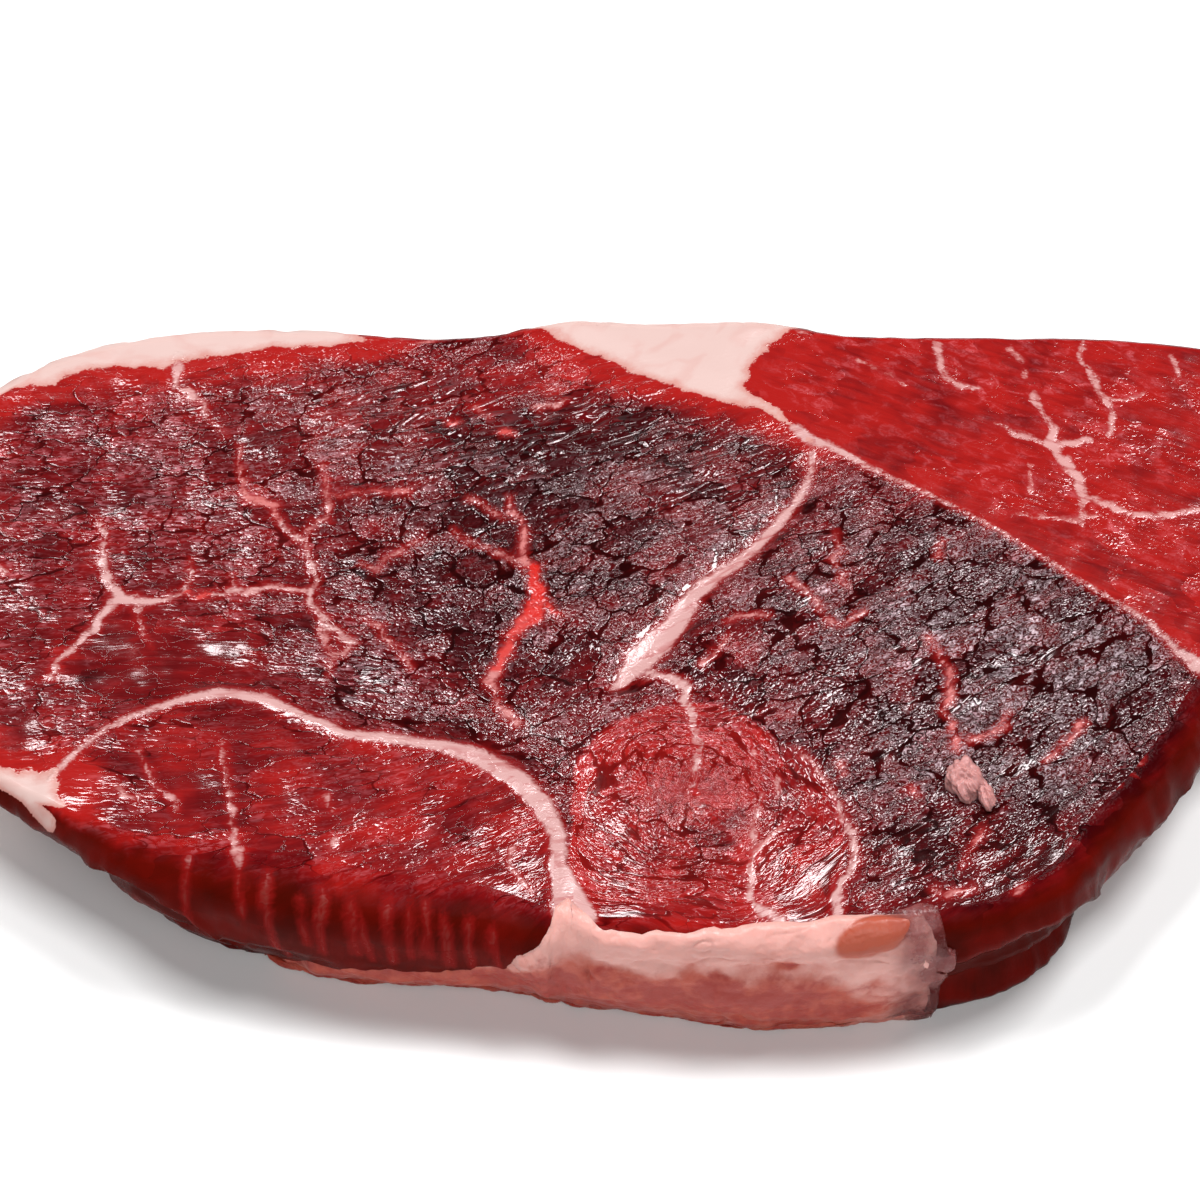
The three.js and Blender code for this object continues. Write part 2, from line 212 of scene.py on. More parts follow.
def layered(x: Array, y: Array, seed: int, layers: int = 3, gain: float = 0.5) -> Array:
    """Noise summed over layers, each twice as fine and gain times as strong as the last.

    Args:
        x, y: places, in waves of the first layer.
        seed: picks the slopes, one more for each layer.
        layers: number of layers.
        gain: strength of each layer against the last.

    Returns:
        The sum at each place.
    """
    total = np.zeros(np.broadcast(x, y).shape)
    for k in range(layers):
        total += gain ** k * noise(x * 2 ** k + 7.3 * k, y * 2 ** k - 4.1 * k, seed + k)
    return total


def cells(x: Array, y: Array, seed: int) -> tuple[Array, Array]:
    """Scattered cells, one in each unit square.

    Args:
        x, y: places, in cells.
        seed: picks where the cells' middles lie.

    Returns:
        Distance to the border with the next cell, and a random number from 0 to 1 of the cell.
    """
    draw = np.random.default_rng(seed)
    order = draw.permutation(1024)
    spot = draw.uniform(0.0, 1.0, (1024, 3))
    x0, y0 = np.floor(x).astype(int), np.floor(y).astype(int)
    first = np.full(x.shape, 9.0)
    second = np.full(x.shape, 9.0)
    mark = np.zeros(x.shape)
    for dx in (-1, 0, 1):
        for dy in (-1, 0, 1):
            s = spot[(order[(x0 + dx) & 1023] + y0 + dy) & 1023]
            d = np.hypot(x0 + dx + s[..., 0] - x, y0 + dy + s[..., 1] - y)
            nearer = d < first
            second = np.where(nearer, first, np.minimum(second, d))
            mark = np.where(nearer, s[..., 2], mark)
            first = np.where(nearer, d, first)
    return (second - first) / 2, mark


def off_line(x: Array, y: Array, line: Line, widths: Sequence[float] | None = None) -> Array:
    """Distance from each place to a line of straight pieces, less half the line's width.

    Args:
        x, y: places.
        line: the line's points.
        widths: the line's full width at each point; none is a bare line.

    Returns:
        The distance, below nought inside the line's width.
    """
    half = np.zeros(len(line)) if widths is None else np.asarray(widths, float) / 2
    best = np.full(np.broadcast(x, y).shape, 1e9)
    for (a, b, ha, hb) in zip(line[:-1], line[1:], half[:-1], half[1:]):
        dx, dy = b[0] - a[0], b[1] - a[1]
        t = np.clip(((x - a[0]) * dx + (y - a[1]) * dy) / (dx * dx + dy * dy), 0, 1)
        d = np.hypot(x - a[0] - t * dx, y - a[1] - t * dy) - (ha + (hb - ha) * t)
        best = np.minimum(best, d)
    return best


def inside(x: Array, y: Array, outline: Line) -> Array:
    """Depth inside a closed outline.

    A place is inside if a line from it along +x crosses the outline an odd number of times.

    Args:
        x, y: places.
        outline: the outline's corners.

    Returns:
        Distance to the outline, above nought inside and below nought outside.
    """
    odd = np.zeros(np.broadcast(x, y).shape, bool)
    for (ax, ay), (bx, by) in zip(outline, (*outline[1:], outline[0])):
        if ay == by:
            continue
        crosses = (ay > y) != (by > y)
        odd ^= crosses & (x < (bx - ax) * (y - ay) / (by - ay) + ax)
    depth = off_line(x, y, (*outline, outline[0]))
    return np.where(odd, depth, -depth)


def down_skin(w: Array) -> Array:
    """Millimetres down the skin from the top of the roll, for places w over the edge."""
    wall = ROLL_LENGTH + WALL_LENGTH * (np.asarray(w) - 1)
    return np.where(w < 0, w, np.where(w < 1, ROLL_LENGTH * w, wall))


def off_arc(t: Array, start: float, end: float) -> Array:
    """Distance outside a stretch of the outline, round its closed turn.

    Args:
        t: where on the outline, in stations.
        start, end: the stretch's stations.

    Returns:
        The distance in stations, below nought inside the stretch.
    """
    turn = len(STATIONS)
    away = np.abs((t - (start + end) / 2 + turn / 2) % turn - turn / 2)
    return away - (end - start) / 2


# ------------------------------------------------------------------ the steak's form


class Outline:
    """The closed outline through the stations, and what each station says, in between."""

    def at(self, t: Array) -> dict[str, Array]:
        """Reads the outline at t, counted in stations.

        Place and sizes run through the stations on a Catmull-Rom spline: each is a cubic
        whose slope at a station is half the step from the station before to the one after.

        Args:
            t: where on the outline, from 0 to the number of stations.

        Returns:
            Arrays for x, y, the outward direction and the stations' five sizes.
        """
        count = len(STATIONS)
        i = np.floor(t).astype(int)
        f = (t - i)[..., None]
        before, here, after, later = (STATIONS[(i + k) % count] for k in (-1, 0, 1, 2))
        slope0, slope1 = (after - before) / 2, (later - here) / 2
        c2 = 3 * (after - here) - 2 * slope0 - slope1
        c3 = 2 * (here - after) + slope0 + slope1
        value = here + f * (slope0 + f * (c2 + f * c3))
        along = (slope0 + f * (2 * c2 + 3 * f * c3))[..., :2]
        along = along / np.linalg.norm(along, axis=-1, keepdims=True)
        keys = ("x", "y", "roll", "drop", "foot", "bulge", "fold")
        found = {key: value[..., k] for k, key in enumerate(keys)}
        found["fold"] = np.maximum(found["fold"], 0)
        found["out_x"], found["out_y"] = along[..., 1], -along[..., 0]
        found["t"] = np.asarray(t, float) % count
        return found

    def even(self, start: int, end: int, count: int) -> Array:
        """Places at equal distances along the outline from one station up to another.

        Args:
            start, end: the stations.
            count: number of places; the end isn't one of them.

        Returns:
            The places, counted in stations.
        """
        span = (end - start) % len(STATIONS)
        fine = start + np.linspace(0, span, span * 24 + 1)
        p = self.at(fine)
        length = np.concatenate([[0], np.cumsum(np.hypot(np.diff(p["x"]), np.diff(p["y"])))])
        return np.interp(np.arange(count) / count * length[-1], length, fine)


class Region(Enum):
    """The muscles and the wall, each with its own grain."""

    MAIN = 0
    TAIL = 1
    EYE = 2
    CAP = 3
    WALL = 4


@dataclass(frozen=True)
class GrainChart:
    """Coordinates that run along and across the grain of the big muscle.

    The grain's direction is read at a few places and blended between them. The chart is the
    pair of height maps whose slopes best match the directions along and across the grain. By
    Fourier's rule such a map is the directions' divergence over minus the squared frequency.

    Attributes:
        places: x, y and the grain's angle in degrees from +x.
        reach: how far a reading counts.
        half_x, half_y: the chart's half sizes.
    """

    places: tuple[tuple[float, float, float], ...]
    reach: float = 20.0
    half_x: int = 144
    half_y: int = 80

    def __post_init__(self) -> None:
        """Solves the two maps once."""
        x = np.arange(-self.half_x, self.half_x, 1.0)
        y = np.arange(-self.half_y, self.half_y, 1.0)
        gx, gy = np.meshgrid(x, y)
        sx, sy = np.zeros(gx.shape), np.zeros(gx.shape)
        for px, py, angle in self.places:
            weight = bell(np.hypot(gx - px, gy - py) / self.reach) + 1e-6
            sx += weight * math.cos(math.radians(angle))
            sy += weight * math.sin(math.radians(angle))
        size = np.hypot(sx, sy)
        cos, sin = sx / size, sy / size
        object.__setattr__(self, "along", self._solve(cos, sin))
        object.__setattr__(self, "across", self._solve(-sin, cos))

    @staticmethod
    def _solve(gx: Array, gy: Array) -> Array:
        """The map whose slopes best match gx and gy, mirrored at its sides so it closes.

        Args:
            gx, gy: the wanted slopes along x and y.

        Returns:
            The map.
        """
        gx = np.block([[gx, -gx[:, ::-1]], [gx[::-1], -gx[::-1, ::-1]]])
        gy = np.block([[gy, gy[:, ::-1]], [-gy[::-1], -gy[::-1, ::-1]]])
        ky = 2 * math.pi * np.fft.fftfreq(gx.shape[0])[:, None]
        kx = 2 * math.pi * np.fft.fftfreq(gx.shape[1])[None, :]
        square = kx ** 2 + ky ** 2
        square[0, 0] = 1
        wave = -1j * (kx * np.fft.fft2(gx) + ky * np.fft.fft2(gy)) / square
        wave[0, 0] = 0
        rows, columns = gx.shape[0] // 2, gx.shape[1] // 2
        return np.real(np.fft.ifft2(wave))[:rows, :columns]

    def at(self, x: Array, y: Array) -> tuple[Array, Array]:
        """Reads the chart.

        Args:
            x, y: places on the plan.

        Returns:
            Coordinates along and across the grain.
        """
        cx = np.clip(x + self.half_x, 0, 2 * self.half_x - 2)
        cy = np.clip(y + self.half_y, 0, 2 * self.half_y - 2)
        i, j = np.floor(cx).astype(int), np.floor(cy).astype(int)
        fx, fy = cx - i, cy - j

        def read(grid: Array) -> Array:
            """Blends the four grid values round each place."""
            low, high = (grid[j + k, i] * (1 - fx) + grid[j + k, i + 1] * fx for k in (0, 1))
            return low * (1 - fy) + high * fy

        return read(self.along), read(self.across)


MAIN_GRAIN = GrainChart(places=(
    (-100, 30, -4), (-90, 0, 4), (-85, -20, 12), (-60, 30, 6), (-60, 5, -6), (-60, -10, 4),
    (-30, 45, 6), (-30, 25, 8), (-30, 0, 20), (-35, -18, -12), (0, 45, -2), (20, 40, -12),
    (5, 30, 2), (-20, 36, 2), (-10, 26, 2), (28, 28, 26), (-5, 15, 20), (-5, -5, 48),
    (12, 12, 32), (18, 0, 44), (45, 20, 36), (45, 5, 24), (60, 2, 28), (75, 3, 40),
    (50, -15, 48), (68, -14, 74),
    (85, -18, 54), (92, -10, 62), (60, -35, 58), (78, -38, 46), (45, -45, 30), (60, -52, 20),
    (48, -28, 76),
))


def grain_at(region: Array, x: Array, y: Array) -> Array:
    """Grain coordinates, in millimetres along and across, by the muscle each place is in.

    The tail's grain runs at an angle that grows towards its round end, the eye's runs round
    its middle, and the cap's runs level with its seam.

    Args:
        region: Region value of each place.
        x, y: places on the plan.

    Returns:
        The two coordinates, stacked last.
    """
    along, across = MAIN_GRAIN.at(x, y)
    turn = math.radians(38)
    bend = 0.008 * np.square(x + 60)
    tail = (0.7 * (x * math.cos(turn) + y * math.sin(turn)),
            -x * math.sin(turn) * (0.35 + 0.006 * np.clip(x + 85, 0, 80)) * 1.3
            + y * math.cos(turn) + bend * 0.1)
    ex, ey = x - 15, (y + 39) * 1.15
    radius = np.hypot(ex, ey)
    angle = (np.arctan2(ey, ex) + math.radians(62)) % (2 * math.pi)
    eye = (angle * 13, radius + 2.6 * noise(x / 13, y / 13, 41))
    tilt = math.radians(-24)
    cap = (x * math.cos(tilt) + y * math.sin(tilt), -x * math.sin(tilt) + y * math.cos(tilt))
    chosen = [(along, across), tail, eye, cap]
    first = np.select([region == k for k in range(4)], [c[0] for c in chosen], x)
    second = np.select([region == k for k in range(4)], [c[1] for c in chosen], y)
    return np.stack([first, second], axis=-1)


class SteakShape:
    """The whole steak's form, as functions of plan places and of places on its edge."""

    def __init__(self) -> None:
        """Takes the outline through the stations."""
        self.outline = Outline()

    def region(self, x: Array, y: Array) -> Array:
        """Tells the muscles apart.

        Args:
            x, y: places on the plan.

        Returns:
            The Region value of each.
        """
        found = np.full(np.broadcast(x, y).shape, Region.MAIN.value)
        found = np.where(inside(x, y, EYE_OUTLINE) > 0, Region.EYE.value, found)
        found = np.where(inside(x, y, TAIL_OUTLINE) > 0, Region.TAIL.value, found)
        return np.where(inside(x, y, CAP_OUTLINE) > 0, Region.CAP.value, found)

    def level(self, x: Array, y: Array) -> Array:
        """Height of the cut face without its fine relief.

        The tail and eye muscles rise by an eased step from their borders, a fat ridge and a
        valley follow the tail's border as bells, seams are bells cut downwards, the fat wedge
        is an eased step, and two sine waves give the slow swell.

        Args:
            x, y: places on the plan.

        Returns:
            The height of each.
        """
        tail = inside(x, y, TAIL_OUTLINE)
        eye = inside(x, y, EYE_OUTLINE)
        wedge = inside(x, y, FAT_WEDGE)
        muscles = 1.4 * smooth(tail / 12) + 1.0 * smooth(eye / 13)
        ridge = 0.3 * bell((tail + 1.3) / 2.3) - 0.4 * bell((tail + 6.5) / 4.6)
        seams = 0.35 * bell(off_line(x, y, CAP_SEAM) / 3.0)
        seams = seams + 0.9 * bell(off_line(x, y, CENTRAL_SEAM) / 3)
        swell = 0.7 * np.sin(x / 27 + 0.8) * np.cos(y / 21 - 0.4)
        return THICKNESS + muscles + ridge - seams + 0.5 * smooth(wedge / 7) + swell

    def crags(self, x: Array, y: Array, region: Array, fat: Array) -> Array:
        """Fine relief of the cut face: lumps, grain furrows and steps, none on fat.

        Lumps are layered noise. Furrows are noise stretched along the grain. The steps are
        cells stretched along the grain that each stand at their own height.

        Args:
            x, y: places on the plan.
            region: their Region values.
            fat: their distance outside the fat.

        Returns:
            What the relief adds to the height of each.
        """
        g = grain_at(region, x, y)
        along, across = g[..., 0], g[..., 1]
        lean = smooth(fat / 1.5)
        rough = np.select([region == Region.MAIN.value, region == Region.EYE.value,
                           region == Region.TAIL.value], [1.0, 0.7, 0.5], 0.4)
        furrow = sum(bell(off_line(x, y, line) / 2.0) for line in TAIL_FURROWS)
        lumps = 0.30 * layered(x / 9, y / 9, 11, 2) - 0.22 * np.clip(furrow, 0, 1)
        lumps = lumps + 0.06 * layered(x / 3.4, y / 3.4, 12, 2)
        warp = noise(along / 7, across / 5, 21)
        furrows = 0.06 * noise(along / 8, across / 1.7 + 0.5 * warp, 22)
        border, mark = cells(along / 8.5 + 0.35 * warp, across / 4.4 + 0.5 * warp, 23)
        step = 0.11 * (mark - 0.5) * smooth(border / 0.2)
        return lumps * (0.4 + 0.6 * rough * lean) + lean * rough * (furrows + step)

    def skin(self, t: Array, w: Array) -> Array:
        """Places on the steak's edge.

        w below 0 is on the top, that many millimetres in from the roll. From 0 to 1 it turns
        over the rim on a quarter ellipse, from 1 to 2 it goes down the wall, and from 2 to 3
        round the toe on a quarter circle. The wall is set in towards the foot by a power of
        the way down, swells by half a sine wave, and steps back at the fold.

        Args:
            t: where on the outline, counted in stations.
            w: how far over the edge.

        Returns:
            Places on the plan, x, y and z stacked last.
        """
        p = self.outline.at(t)
        turn = np.clip(w, 0, 1)
        share = np.clip(w - 1, 0, 1)
        toe = np.clip(w - 2, 0, 1)
        angle = (1 - turn) * math.pi / 2
        step = smooth((share - FOLD_HEIGHT + FOLD_SOFTNESS) / (2 * FOLD_SOFTNESS))
        back = 1 - smooth((share - FOLD_HEIGHT) / (1 - FOLD_HEIGHT))
        inset = p["roll"] * (1 - np.cos(angle)) + np.maximum(-w, 0)
        inset = inset + p["foot"] * share ** FOOT_CURVE + p["fold"] * step * back
        inset = inset - p["bulge"] * np.sin(math.pi * share)
        inset = inset + TOE_RADIUS * (1 - np.cos(toe * math.pi / 2))
        inset = inset - self.wall_relief(p["t"], w)
        x = p["x"] - p["out_x"] * inset
        y = p["y"] - p["out_y"] * inset
        rim_x = np.where(w > 1, p["x"] + 0 * w, x)
        rim_y = np.where(w > 1, p["y"] + 0 * w, y)
        top = self.top(rim_x, rim_y)
        z = top - p["drop"] * (1 - np.sin(angle))
        z = z + (TOE_RADIUS - z) * share
        z = z - TOE_RADIUS * np.sin(toe * math.pi / 2)
        return np.stack(np.broadcast_arrays(x, y, z), axis=-1)

    def skin_normal(self, t: Array, w: Array) -> Array:
        """Outward unit normals of the edge: the cross product of its two directions.

        Args:
            t, w: places as skin takes them.

        Returns:
            The normals, stacked last.
        """
        small = 0.01
        along = self.skin(t + small, w) - self.skin(t - small, w)
        down = self.skin(t, w + 2 * small) - self.skin(t, w - 2 * small)
        cross = np.cross(down, along)
        return cross / np.maximum(np.linalg.norm(cross, axis=-1, keepdims=True), 1e-9)

    @staticmethod
    def below_lip(t: Array, w: Array) -> Array:
        """How far below the lip of the nearer layer of muscle, where the wall has one.

        The steak's front wall shows two layers at its left and right ends. The nearer layer
        ends in a lip that runs down to the foot, and the farther one lies in its shade.

        Args:
            t, w: places as skin takes them.

        Returns:
            The drop below the lip in units of w; far below nought where there is no lip.
        """
        return w - np.interp(t, LIPS[:, 0], LIPS[:, 1])

    def wall_relief(self, t: Array, w: Array) -> Array:
        """How far the wall stands out in lumps, flat upright folds and lips, none on the top.

        Args:
            t, w: places as skin takes them.

        Returns:
            Millimetres outwards.
        """
        amount = smooth(w) * smooth((3 - w) / 0.5)
        behind = smooth((t - 21) / 2) * smooth((45.5 - t) / 1.5)
        lumps = (0.45 + 0.75 * behind) * layered(t * 1.1, w * 2.6, 51, 3)
        crease = noise(t * 0.8 + 0.5 * noise(t * 2, w * 2, 56), w * 1.7 + noise(t, w, 57), 55)
        lumps = lumps - 0.7 * behind * bell(crease / 0.12)
        folds = 0.25 * noise(t * 4.2 + 0.5 * noise(t, w * 2, 53), w * 0.9, 52)
        below = self.below_lip(t, w)
        lip = 0.7 * bell((below + 0.09) / 0.1) - 1.1 * bell((below - 0.13) / 0.13)
        return amount * (lumps + folds + lip)

    def fat_edge(self, x: Array, y: Array) -> Array:
        """Distance outside the fat on the top, below nought inside it, with a ragged border."""
        zone = np.maximum(inside(x, y, FAT_WEDGE), inside(x, y, BACK_FAT))
        return -zone + 0.9 * layered(x / 5, y / 4, 61, 4)

    def top(self, x: Array, y: Array) -> Array:
        """Full height of the cut face."""
        return self.level(x, y) + self.crags(x, y, self.region(x, y), self.fat_edge(x, y))


# ------------------------------------------------------------------ marbling


@dataclass(frozen=True)
class Vein:
    """One strand of marbling on the cut face.

    Attributes:
        points: its line on the plan.
        width: width at the start.
        end: width at the end.
        heat: 0 is pale connective tissue, 1 is bright blood red.
    """

    points: Line
    width: float = 1.0
    end: float = 0.5
    heat: float = 0.0


VEINS = (
    # left muscle: the fork
    Vein(((-85.5, 17.5), (-83.5, 14.5), (-84, 11.5), (-83.5, 6.5), (-81.5, 3), (-80, 1)), 0.9, 2.6),
    Vein(((-80, 1), (-82, -1.5), (-84, -6), (-87.5, -10.5), (-89.5, -12.5), (-90, -15.5)), 2.8, 0.9),
    Vein(((-80, 1), (-77, -0.5), (-73.5, 0.5), (-69.5, 2)), 3.0, 1.4),
    Vein(((-69.5, 2), (-67, 1.2), (-65, 1.6)), 1.6, 1.6, 0.9),
    Vein(((-65, 1.6), (-63.5, 2), (-60.5, 2.5)), 1.4, 2.0),
    Vein(((-60.5, 2.5), (-59.5, 1.5), (-56, 3.5), (-52.5, 3), (-49.5, 2.5)), 1.6, 1.1, 0.15),
    Vein(((-77, -0.5), (-77, -2), (-76, -6), (-74, -10)), 1.3, 0.5),
    Vein(((-69.8, 2), (-69, 5), (-68.8, 8)), 1.0, 0.4),
    Vein(((-60.5, 2.5), (-62, 5.5)), 1.2, 0.4),
    # left muscle: the upright and its ring
    Vein(((-62, 33.5), (-62, 29.5), (-61, 25), (-60.5, 22)), 0.7, 1.5, 0.45),
    Vein(((-60.5, 22), (-58, 21.5), (-55, 20.5), (-54.5, 17)), 1.6, 1.1, 0.5),
    Vein(((-54.5, 17), (-52.5, 15), (-50, 12.5), (-48.5, 8.5), (-47.5, 4.5), (-48.5, 2)), 1.1, 1.8),
    Vein(((-48.5, 2), (-47.5, -1.5), (-45, -5), (-42, -7.5), (-41, -9)), 1.8, 1.1),
    Vein(((-47, -1.5), (-46, -7), (-44.5, -10.5), (-42.5, -11), (-41, -9)), 0.9, 0.9, 0.2),
    Vein(((-44, -11), (-44.5, -15.5)), 0.9, 0.4, 0.2),
    Vein(((-48, 29.5), (-47, 26), (-46.5, 22.5), (-46, 17.5), (-49, 16.5), (-50, 13)), 0.7, 1.0, 0.3),
    Vein(((-46, 22.5), (-38.5, 23.5), (-32.5, 23.5)), 1.1, 0.5, 0.55),
    Vein(((-40, 8), (-38, 6.5), (-36, 9), (-33.5, 11), (-30.5, 13)), 0.6, 0.6, 0.2),
    Vein(((-39, -4), (-36.5, -5), (-36, -7.5), (-33.5, -10), (-31, -14)), 0.8, 0.6, 0.3),
    # from the back fat
    Vein(((-74, 53), (-74, 46.5), (-71.5, 45), (-69, 42.5), (-68, 39.5), (-65, 36)), 2.6, 0.5, 0.1),
    Vein(((-11, 42), (-8, 42.5), (-6, 44)), 1.2, 0.7, 0.25),
    Vein(((-21.5, 41.5), (-19, 39.5)), 0.8, 0.5, 0.4),
    Vein(((-26, 38), (-24.5, 38.5)), 1.3, 0.8, 0.8),
    Vein(((-17, 36), (-15, 36.3)), 1.2, 0.6, 0.8),
    # the blood-red vein in the middle
    Vein(((-15.5, 22), (-15, 18.5), (-13, 15.5), (-13, 11.5), (-13, 8), (-11.5, 6.5)), 1.3, 1.9, 0.45),
    Vein(((-11.5, 6.5), (-10.8, 4), (-10.2, 0), (-11.5, -4)), 2.6, 4.2, 1.0),
    Vein(((-10, 0), (-7.5, -3), (-6, -3.5)), 2.0, 0.7, 0.95),
    Vein(((-11.5, -3), (-14.5, -7.5), (-16, -12), (-17, -14.5)), 3.0, 2.2, 0.9),
    Vein(((-17, -14.5), (-18, -17), (-17, -18.5), (-16.5, -21.5), (-15, -23.5), (-13.5, -24.5)),
         1.8, 1.2, 0.35),
    Vein(((-22.5, 22), (-19, 19.5), (-16.5, 17.5)), 0.6, 0.8, 0.3),
    Vein(((-25, 15), (-22.5, 12.5), (-19, 11), (-16, 9), (-13.5, 8)), 0.5, 0.9, 0.2),
    # under the central seam
    Vein(((4, -16), (8, -15), (10, -15.5), (12.5, -17), (14, -18), (13.5, -20.5)), 1.6, 2.4),
    Vein(((13.5, -20.5), (15, -22.5), (15.5, -26), (16, -30), (15.5, -33.5), (15, -37), (14, -39.5)),
         1.5, 0.6),
    # dark right side of the big muscle
    Vein(((31.5, 4), (33.5, 2), (35.5, 0), (37, -3.5), (38.5, -5)), 1.2, 0.7, 0.25),
    Vein(((38.5, -5), (40.5, -5), (44, -2.5)), 0.7, 0.5, 0.3),
    Vein(((40, 14), (40.5, 10.5), (39, 8), (40.5, 5), (41, 3)), 0.6, 0.6, 0.3),
    Vein(((21, -4.5), (23.5, -3.5), (28, -3.5)), 0.6, 0.5, 0.3),
    Vein(((21, -8), (18.5, -11.5), (17, -13.5)), 0.9, 0.6, 0.4),
    Vein(((57.5, 12.5), (57, 9)), 0.5, 0.6, 0.6),
    Vein(((54, -7.5), (55.5, -10.5), (57, -14), (57.5, -17), (57, -20.5)), 0.7, 1.2, 0.5),
    Vein(((57, -20.5), (56, -22.5), (57, -25), (57.5, -28), (58, -30.5)), 1.2, 1.3, 0.6),
    Vein(((59, -28.5), (62, -28), (65.5, -26), (66.5, -22.5)), 0.7, 0.5, 0.5),
    Vein(((78.5, -25), (75.5, -29), (72, -32.5)), 0.8, 0.5, 0.5),
    Vein(((53, -57), (54, -58), (57, -57), (59, -56.5)), 1.0, 0.7, 0.4),
    Vein(((65.5, -58), (66.5, -57)), 1.0, 0.8, 0.4),
    Vein(((61, -45.5), (59, -49.5), (57, -52.5)), 0.8, 0.5, 0.6),
    Vein(((38, -32.5), (39.5, -34.5)), 0.9, 0.6, 0.4),
    Vein(((50, -37.5), (51, -38.8)), 1.2, 0.8, 0.6),
    # eye muscle
    Vein(((28.5, -36.2), (28.5, -38.8)), 1.1, 0.6, 0.1),
    Vein(((25.5, -39.5), (24.5, -45.5), (24, -49.5), (24, -53), (23.5, -57.5)), 0.8, 1.7, 0.1),
    Vein(((23.5, -57.5), (24.5, -60.5), (28, -62.5)), 1.8, 3.2),
    Vein(((25, -49.5), (27.5, -47), (29.5, -45)), 0.9, 0.4, 0.2),
    Vein(((24.5, -30.5), (25, -34.5)), 0.6, 0.4, 0.3),
    Vein(((31.5, -30), (34, -32.5), (36, -36), (38, -40.5)), 0.6, 1.2, 0.2),
    Vein(((38, -40.5), (39.5, -45.5), (40.5, -48.5), (40, -52), (37.5, -56), (37, -61)), 1.6, 2.2),
    # cap muscle
    Vein(((59.5, 56.5), (59.5, 52), (60.5, 48.5), (62.5, 47), (66, 46.5)), 1.0, 0.5, 0.15),
    Vein(((72, 55.5), (74, 52.5), (74.5, 49)), 0.6, 0.5, 0.3),
    Vein(((75, 45), (76.5, 41.5), (78.5, 37), (77.5, 33.5)), 0.5, 1.3, 0.15),
    Vein(((77.5, 33.5), (79.5, 30.5), (82, 26), (82.5, 22), (82, 16.5)), 1.4, 0.9, 0.15),
    Vein(((68.5, 38.5), (72, 36), (75.5, 34.5), (77.5, 33.5)), 0.5, 1.2, 0.15),
    Vein(((77.5, 33.5), (81, 34), (84.5, 35)), 1.1, 0.5, 0.15),
    Vein(((85, 57), (84.5, 52), (86, 48.5), (87.5, 44), (89, 41), (88, 36)), 0.7, 0.7, 0.15),
    Vein(((87.5, 44), (91, 43), (94.5, 45)), 0.8, 0.4, 0.2),
    Vein(((82.5, 22), (86, 21), (90, 18.5), (94.5, 18.5), (99, 19), (108, 21.5)), 1.0, 0.7, 0.2),
    Vein(((70, 18.5), (74.5, 18), (80.5, 17.5), (85, 18.5)), 0.5, 0.6, 0.3),
    Vein(((45.5, 52.5), (49.5, 50.5), (53.5, 47)), 0.6, 0.4, 0.3),
    Vein(((100.5, 53.5), (101, 49)), 0.9, 0.5, 0.2),
    Vein(((74, 29.5), (73.5, 23.5)), 0.5, 0.4, 0.4),
    # tail muscle
    Vein(((-74.5, -31.5), (-73, -34.5), (-71, -38.5), (-67.5, -41.5), (-67.5, -43.5)), 0.7, 0.9, 0.1),
    Vein(((-77.5, -38.5), (-75.5, -40.5), (-71.5, -40.5)), 0.6, 0.6, 0.2),
    Vein(((-61, -30), (-60, -36), (-59, -40.5), (-58.5, -45.5)), 0.5, 1.1, 0.1),
    Vein(((-58.5, -45.5), (-57.5, -50.5), (-56.5, -54)), 1.4, 1.1, 0.1),
    Vein(((-44, -40.5), (-42.5, -43.5)), 0.9, 0.6, 0.15),
    Vein(((-41.5, -48.5), (-43, -51)), 0.9, 0.7, 0.15),
    Vein(((-13.5, -48), (-14.5, -53), (-12.5, -55), (-11, -57.5)), 0.9, 0.9, 0.2),
    # left end
    Vein(((-110, 22), (-106, 16), (-105, 10), (-100, 6)), 0.6, 1.1, 0.1),
    Vein(((-118, 2), (-112, -2), (-106, -6), (-104, -12)), 0.7, 1.0, 0.2),
    # right end
    Vein(((108, 21.5), (113, 24), (118, 30), (119, 38)), 0.8, 0.6, 0.2),
    Vein(((104, 40), (108, 36), (112, 36)), 0.5, 0.8, 0.2),
    Vein(((112, 10), (116, 14), (121, 15)), 0.7, 0.5, 0.2),
)

# Bands of connective tissue between the muscles: x, y and width.
TAIL_SEAM = (
    (-88, -36, 2.0), (-84.5, -30.5, 1.2), (-80, -26.3, 1.1), (-76, -23.6, 1.3),
    (-68, -20.2, 1.8), (-62, -19.0, 2.6), (-55, -20.0, 2.8), (-48.5, -23.6, 1.8),
    (-42, -27, 2.0), (-32.5, -28.6, 2.2), (-26, -29.6, 3.0), (-19.5, -31.8, 4.2),
    (-14, -35.4, 4.6), (-9.5, -40.5, 4.4), (-6.6, -46.5, 3.2), (-6.6, -52, 3.6),
    (-5.2, -57, 6.0), (-4, -62, 9.0),
)
CENTRAL_BAND = (
    (36.5, 32, 1.4), (36.5, 29.5, 1.0), (35.4, 25, 1.3), (33, 20.5, 1.6), (30, 16, 1.9),
    (26.5, 11.5, 2.1), (23, 8, 2.3), (19, 4.6, 2.8), (15.6, 1, 3.4), (13.5, -3, 4.0),
    (11, -7, 5.0), (8.4, -10, 5.4), (6.0, -13, 5.0), (3.5, -16.5, 2.2), (2, -18, 0.8),
)
CAP_BAND = (
    (34, 37, 2.4), (36.5, 34.5, 2.4), (39.5, 33.5, 1.8), (46.5, 28.4, 1.1), (56, 22.8, 0.8),
    (67.5, 15.3, 0.6), (75.5, 8.8, 0.5), (83.5, 2.2, 0.7), (91.5, -4, 1.0), (95.5, -10, 1.4),
    (98.5, -13, 3.4), (103, -16.5, 4.5), (108, -19, 5.0),
)

